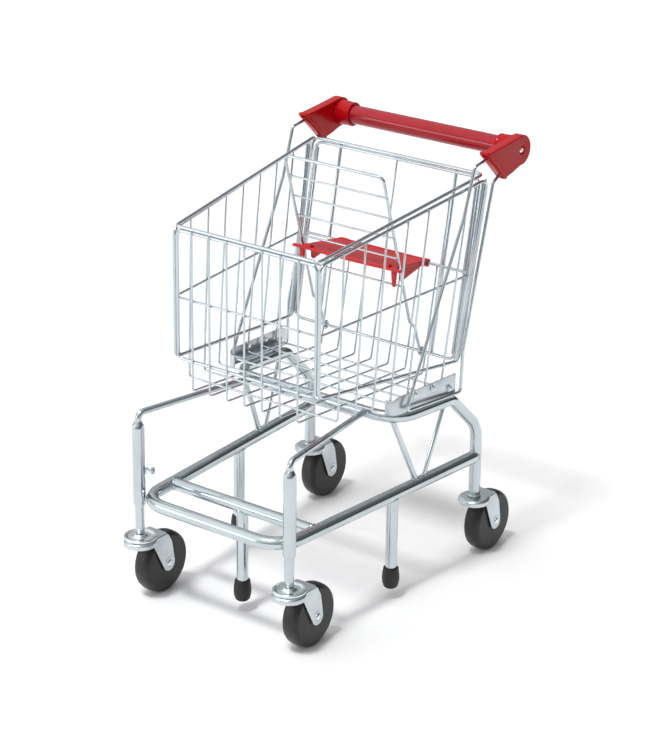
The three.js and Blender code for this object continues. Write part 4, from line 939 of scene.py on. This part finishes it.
def housing_outline():
    """A housing's outline in (y, z): round over the tube, straight to the two ends of the mouth."""
    turn = np.radians(np.linspace(-97, 98, 40))
    arc = np.c_[HANDLE_Y + HOUSING_R * np.cos(turn), HANDLE_Z + HOUSING_R * np.sin(turn)]
    rear = [(MOUTH_LOW[0], MOUTH_LOW[1]), (MOUTH_LOW[0] + 14, MOUTH_LOW[1] + 3)]
    front = [(HANDLE_Y - 40, HANDLE_Z + HOUSING_R - 4.5), (MOUTH_TOP[0], MOUTH_TOP[1])]
    return np.r_[rear, arc, front]


def fine_outline(outline, pitch=4.5):
    """The same closed outline with extra points, so that no two are further apart than the pitch."""
    runs = []
    for a, b in zip(outline, np.roll(outline, -1, 0)):
        n = max(1, int(np.linalg.norm(b - a) / pitch))
        runs.append(a + (b - a) * np.arange(n)[:, None] / n)
    return np.concatenate(runs)


def recessed_plate(outline, x0, x1, eye, well, depth, edge):
    """A plate in (y, z) whose outer face runs in rings from its rim to a round well about the eye."""
    points, faces = upright_plate(outline, x0, x1, edge, 4)
    cols = len(outline)
    rim = points[-cols:]
    faces = faces[:-1]
    way = unit(rim[:, 1:] - eye)
    levels = [(well + 1.6, x1), (well + 0.5, x1 - 0.15), (well, x1 - 0.7), (well - 0.2, x1 - depth)]
    rings = [np.c_[np.full(cols, x), np.asarray(eye) + way * r] for r, x in levels]
    skin = grid(1 + len(rings), cols) + len(points) - cols
    points = np.concatenate([points, *rings])
    floor = np.arange(len(points) - cols, len(points))[None]
    return points, [*faces, skin, floor]


def mouth_shapes():
    """The bead round the mouth of a housing, swept round a rectangle, and the plug that closes it."""
    top, low = np.array(MOUTH_TOP), np.array(MOUTH_LOW)
    x0, x1, a, b = HOUSING_IN + 0.2, HOUSING_OUT - 1.0, top + [0.4, 0.2], low + [-0.2, -1.0]
    lip = wire([(x0, *a), (x1, *a), (x1, *b), (x0, *b)], 3.0, 2.0, 12, True)
    down = unit(np.array([top - low]))[0]
    a, b = top - down * 6, low + down * 6
    plug = [a + [-2.5, -2.2], b + [-2.5, -2.2], b + [4, 4], a + [4, 4]]
    stopper = upright_plate(soft_corners(plug, 1.5, 3, True), HOUSING_IN + 2.5, HOUSING_OUT - 2.5, 0.8)
    return [lip, stopper]


def collar():
    """The stepped sleeve that grips the handle tube."""
    bore, r = HANDLE_R + 0.15, COLLAR_R + 0.4
    line = [
        (bore, COLLAR_END),
        (r, COLLAR_END),
        (r, COLLAR_END + 2.4),
        (COLLAR_R, COLLAR_END + 3.6),
        (COLLAR_R + 1.6, HOUSING_IN + 1),
        (bore, HOUSING_IN + 1),
    ]
    profile = soft_corners(line, [0.3, 0.8, 0.8, 1.5, 0.5, 0.3], 4, True)
    return turned(profile, (0, HANDLE_Y, HANDLE_Z), (1, 0, 0), 64, closed=True)


def housing(name, side):
    """The moulded arm with its mouth and collar, and the dished screw in its well."""
    outline = fine_outline(housing_outline())
    arm = recessed_plate(outline, HOUSING_IN, HOUSING_OUT, (HANDLE_Y, HANDLE_Z), 5.6, 3.0, 1.3)
    shapes = [on_side(shape, side) for shape in (arm, *mouth_shapes(), collar())]
    piece(f"handle_housing_{name}", shapes, "frame", GLOSS_RED, f"housing_{name}")
    dish = [(0.5, 1.4), (1.4, 1.5), (1.7, 2.3), (2.6, 2.5), (3.9, 1.4), (4.1, 0.3), (4.1, -1), (0.5, -1)]
    head = turned(dish[::-1], (HOUSING_OUT - 3.0, HANDLE_Y, HANDLE_Z), (1, 0, 0), 32)
    screw = [on_side(head, side)]
    piece(f"screw_head_{name}", screw, "frame", BRIGHT_ZINC, f"handle_screw_{name}")


# ------------------------------------------------------------------ doll seat
REST_HINGE = tail_point(0, LOOP_REAR_Z)
SEAT_HINGE = tail_point(0, MID_REAR_Z)
HOOK_R = FRAME_R + TURNING_AIR + REST_R


def rest_y(z):
    """The leaning plane of the backrest at height z."""
    return lerp(REST_TOP_Y, 310, (REST_TOP_Z - z) / (REST_TOP_Z - 358))


def backrest():
    """A hoop with a hook at each foot, swept as one wire, and level rungs between its legs."""
    def leg(side):
        """Corners of a leg: round the hinge wire, then up to the top of the hoop."""
        x = side * REST_X
        hook = [
            (x, REST_HINGE[1] + HOOK_R * math.cos(a), REST_HINGE[2] + HOOK_R * math.sin(a))
            for a in np.radians([-160, -115, -70, -25, 20, 65, 110, 140])
        ]
        return hook + [(x, 324, 341), (x, 311.5, 352), (side * (REST_X - 0.5), REST_TOP_Y, REST_TOP_Z)]

    right, left = leg(1), leg(-1)
    radii = [1.6] * 8 + [9, 9, 9]
    hoop = wire(right + left[::-1], radii + radii[::-1], REST_R, 16, steps=5)
    shapes = [hoop]
    for z in REST_RUNGS:
        y = rest_y(z)
        shapes.append(straight((-REST_X, y, z), (REST_X, y, z), MESH_R))
        shapes += [nugget((s * REST_X, y - 1, z), 0.9) for s in (-1, 1)]
    wire_piece("backrest_wires", shapes, "backrest", "seat_backrest")


def lug(x, y):
    """A tongue hanging from the plate: a rounded block whose section shrinks from root to tip."""
    turn = 2 * math.pi * np.arange(20) / 20
    depth = np.array([0.8, -1.0, -3.0, -9.0, -16.0, -21.5, -23.6, -24.4])
    half = np.array([4.6, 4.5, 3.9, 3.5, 3.0, 2.5, 1.8, 0.5])
    super_x = np.sign(np.cos(turn)) * np.abs(np.cos(turn)) ** 0.6
    super_y = np.sign(np.sin(turn)) * np.abs(np.sin(turn)) ** 0.6
    rings = np.empty((len(depth), 20, 3))
    rings[..., 0] = x + half[:, None] * super_x
    rings[..., 1] = y + 0.8 * half[:, None] * super_y
    rings[..., 2] = depth[:, None]
    return shell(rings[::-1])


SEAT_REAR, SEAT_BACK_Z = SEAT_HINGE[1] - 3, SEAT_HINGE[2] + 3.6
SEAT_LEG_Y, SEAT_INNER, SEAT_TAB = rest_y(SEAT_FRONT_Z), REST_X - REST_R - 1.4, REST_X + REST_R + 6


def seat_plate():
    """The plate, with a bowed front edge and tabs round the backrest's legs, and the fence along its rear."""
    x, y = np.linspace(SEAT_INNER - 4, 4 - SEAT_INNER, 15), SEAT_LEG_Y
    front = np.c_[x, SEAT_FRONT_Y - 4 * (1 - (x / SEAT_INNER) ** 2)]
    left = [(-SEAT_HALF, SEAT_REAR), (-SEAT_INNER, y + 16), (-SEAT_INNER, y - 5)]
    left += [(-SEAT_TAB, y - 5), (-SEAT_TAB, y - 12)]
    outline = np.r_[left, front[::-1], [(-a, b) for a, b in left[::-1]]]
    fence = soft_corners(oblong(SEAT_HALF - 1.5, SEAT_REAR - 3.5, SEAT_REAR - 0.2), 1.0, 3, True)
    return [plate(outline, -SEAT_T / 2, SEAT_T / 2, 0.9, 3), plate(fence, 0, SEAT_T / 2 + 0.9, 0.7)]


def seat_side(side):
    """At one side of the plate: the hooked lip on top, the tapering skirt and the hanging tongue."""
    y, rear = SEAT_FRONT_Y, SEAT_REAR - 7
    lip = soft_corners([(y, 0.5), (y + 12, 0.5), (y + 3.5, 6.3), (y - 0.8, 5.2)], 1.0, 3, True)
    skirt = [(SEAT_LEG_Y + 9, 0), (SEAT_LEG_Y + 11, -21), (rear, -3), (rear, 0)]
    skirt = soft_corners(skirt, [0.5, 4, 1, 0.5], 4, True)
    return [
        upright_plate(lip, side * (SEAT_INNER - 7), side * (SEAT_INNER - 18), 0.7),
        upright_plate(skirt, side * (SEAT_HALF + 1.4), side * (SEAT_HALF - 1.6), 0.7),
        lug(side * (SEAT_INNER - 1), y + 4),
    ]


def seat_ribs():
    """Three ribs under the plate, from side to side."""
    starts = SEAT_LEG_Y + 6, SEAT_LEG_Y + 24, SEAT_LEG_Y + 42
    ribs = [soft_corners(oblong(SEAT_HALF - 8, y, y + 1.6), 0.6, 2, True) for y in starts]
    return [plate(rib, -SEAT_T / 2 - 2.6, 0, 0.5) for rib in ribs]


def seat_barrel(side):
    """A turned barrel round the hinge wire, and the arm that carries it."""
    (y, z), bore, rim = SEAT_HINGE[1:], FRAME_R + TURNING_AIR, BARREL_R - 0.5
    a, b = sorted((side * SEAT_HALF, side * (SEAT_HALF - BARREL_L)))
    ring = [(BARREL_R, a + 0.5), (BARREL_R, b - 0.5), (rim, b), (bore, b), (bore, a), (rim, a)]
    arm = [(y - 13, z - 0.6), (y - 3.5, z - 1.5), (y - 3.2, z + 3.4), (y - 13, z + 4.4)]
    barrel = turned(ring, (0, y, z), (1, 0, 0), 36, closed=True)
    return [barrel, upright_plate(soft_corners(arm, 0.8, 3, True), a, b, 0.7)]


def seat():
    """The seat is drawn level and then sheared to its tilt about the hinge wire."""
    tilt = (SEAT_FRONT_Z - 2.0 - SEAT_BACK_Z) / (SEAT_HINGE[1] - SEAT_FRONT_Y)
    level = [*seat_plate(), *seat_side(-1), *seat_side(1), *seat_ribs()]
    shapes = [lifted(shape, SEAT_BACK_Z - tilt * (shape[0][:, 1] - SEAT_HINGE[1])) for shape in level]
    shapes += seat_barrel(-1) + seat_barrel(1)
    piece("doll_seat", shapes, "seat", SEAT_RED, "seat_panel")


# ------------------------------------------------------------------ studio
FLOOR_HALF = 16.0
KEY_POWER, KEY_SPREAD, KEY_WAY = 1.85, math.radians(9), (0.02, 0.38, -0.93)
PANEL_SIZE, PANEL_POWER, PANEL_SPOT, PANEL_AIM = (1.5, 0.5), 13, (-1.9, -2.6, 0.8), (0, 0, 0.4)
# (height from nadir to zenith, brightness), then the walls' lean to the left and the front
WALL_STOPS = ((0.0, 0.60), (0.47, 0.50), (0.505, 0.29), (0.62, 0.42), (0.74, 0.80), (1.0, 1.0))
WALL_LEFT, WALL_FRONT, WALL_LEAST, WALL_POWER = 0.85, 0.65, 0.24, 0.78
VIEW_TURN, VIEW_RISE, VIEW_ROLL = math.radians(37.135), math.radians(21.635), math.radians(0.728)
VIEW_SPOT, VIEW_LENS, VIEW_FAR = (1.7744, POSTS_Y - 2.1096, 1.4458), 114.12, 100


def studio():
    """A flat pale floor, wide enough to meet the walls out of sight."""
    mesh = bpy.data.meshes.new("studio_floor")
    corners = [(x, y, 0) for x, y in oblong(FLOOR_HALF, -FLOOR_HALF, FLOOR_HALF)]
    mesh.from_pydata(corners, [], [(0, 1, 2, 3)])
    floor = bpy.data.objects.new("studio_floor", mesh)
    bpy.context.scene.collection.objects.link(floor)
    f = Finish("floor_paper", Specular_IOR_Level=0.2)
    f.feed(Base_Color=f.mixed(f.noise(3.0), tone(0.93, 0.93, 0.93), tone(0.915, 0.915, 0.915)))
    f.feed(Roughness=f.between(f.noise(40.0), 0.0, 1.0, 0.85, 0.95))
    mesh.materials.append(f.material)


def placed_in(thing, spot, across, up, back):
    """Puts a lamp or a camera at a spot, looking away from back."""
    bpy.context.scene.collection.objects.link(thing)
    thing.matrix_world = Matrix.Translation(spot) @ Matrix(np.c_[across, up, back].tolist()).to_4x4()


def lamp_at(name, light, spot, way):
    """Puts a light at a spot, shining along a direction."""
    back = -unit(way)
    across = unit(np.cross((0, 0, 1), back))
    placed_in(bpy.data.objects.new(name, light), spot, across, np.cross(back, across), back)


def key_light():
    """One broad light high over the nose: soft shadows fall a little behind each tube."""
    light = bpy.data.lights.new("key", "SUN")
    light.energy, light.angle = KEY_POWER, KEY_SPREAD
    lamp_at("key", light, (0, -1, 3), KEY_WAY)


def light_panel():
    """A long low panel at the left of the nose, seen as the streak along the handle and the posts."""
    light = bpy.data.lights.new("panel", "AREA")
    light.shape, light.energy = "RECTANGLE", PANEL_POWER
    light.size, light.size_y = PANEL_SIZE
    lamp_at("panel", light, PANEL_SPOT, np.subtract(PANEL_AIM, PANEL_SPOT))


def sky():
    """Studio walls: bright overhead and to the left, a dim belt at eye level behind the cart and to the
    right of it, so that round plated tubes show light and dark bands."""
    world = bpy.data.worlds.new("studio_walls")
    bpy.context.scene.world = world
    walls = Nodes(world, "Background")
    place = walls.node("ShaderNodeTexCoord", out="Generated")
    x, y, z = (walls.node("ShaderNodeSeparateXYZ", None, {0: place}, axis) for axis in "XYZ")
    stops = [(spot, tone(level, level * 1.005, level * 1.02)) for spot, level in WALL_STOPS]
    walls.feed(Color=walls.node("ShaderNodeValToRGB", {"stops": stops}, {"Fac": 0.5 * z + 0.5}))
    side = 1 - WALL_LEFT * x - WALL_FRONT * y
    walls.feed(Strength=WALL_POWER * side.math("MAXIMUM", side, WALL_LEAST))


def camera():
    """Seen from the right of the nose, turned round it, raised and rolled by the three VIEW angles."""
    turn, rise, roll = VIEW_TURN, VIEW_RISE, VIEW_ROLL
    back = np.array([math.sin(turn) * math.cos(rise), -math.cos(turn) * math.cos(rise), math.sin(rise)])
    level = np.array([math.cos(turn), math.sin(turn), 0])
    upward = np.cross(back, level)
    right = math.cos(roll) * level + math.sin(roll) * upward
    up = -math.sin(roll) * level + math.cos(roll) * upward
    data = bpy.data.cameras.new("camera")
    data.lens, data.clip_end = VIEW_LENS, VIEW_FAR
    eye = bpy.data.objects.new("camera", data)
    placed_in(eye, VIEW_SPOT, right, up, back)
    bpy.context.scene.camera = eye


lower_bow()
cross_tube()
upper_bow()
props()
posts()
braces()
brackets()
casters()
basket_rim()
nose_panel()
tail_panel()
basket_floor()
handle_bar()
for side_name, side_sign in SIDES:
    side_panel(side_name, side_sign)
    handle_stay(side_name, side_sign)
    housing(side_name, side_sign)
backrest()
seat()
studio()
sky()
camera()
key_light()
light_panel()
bpy.context.scene.view_settings.view_transform = "Standard"
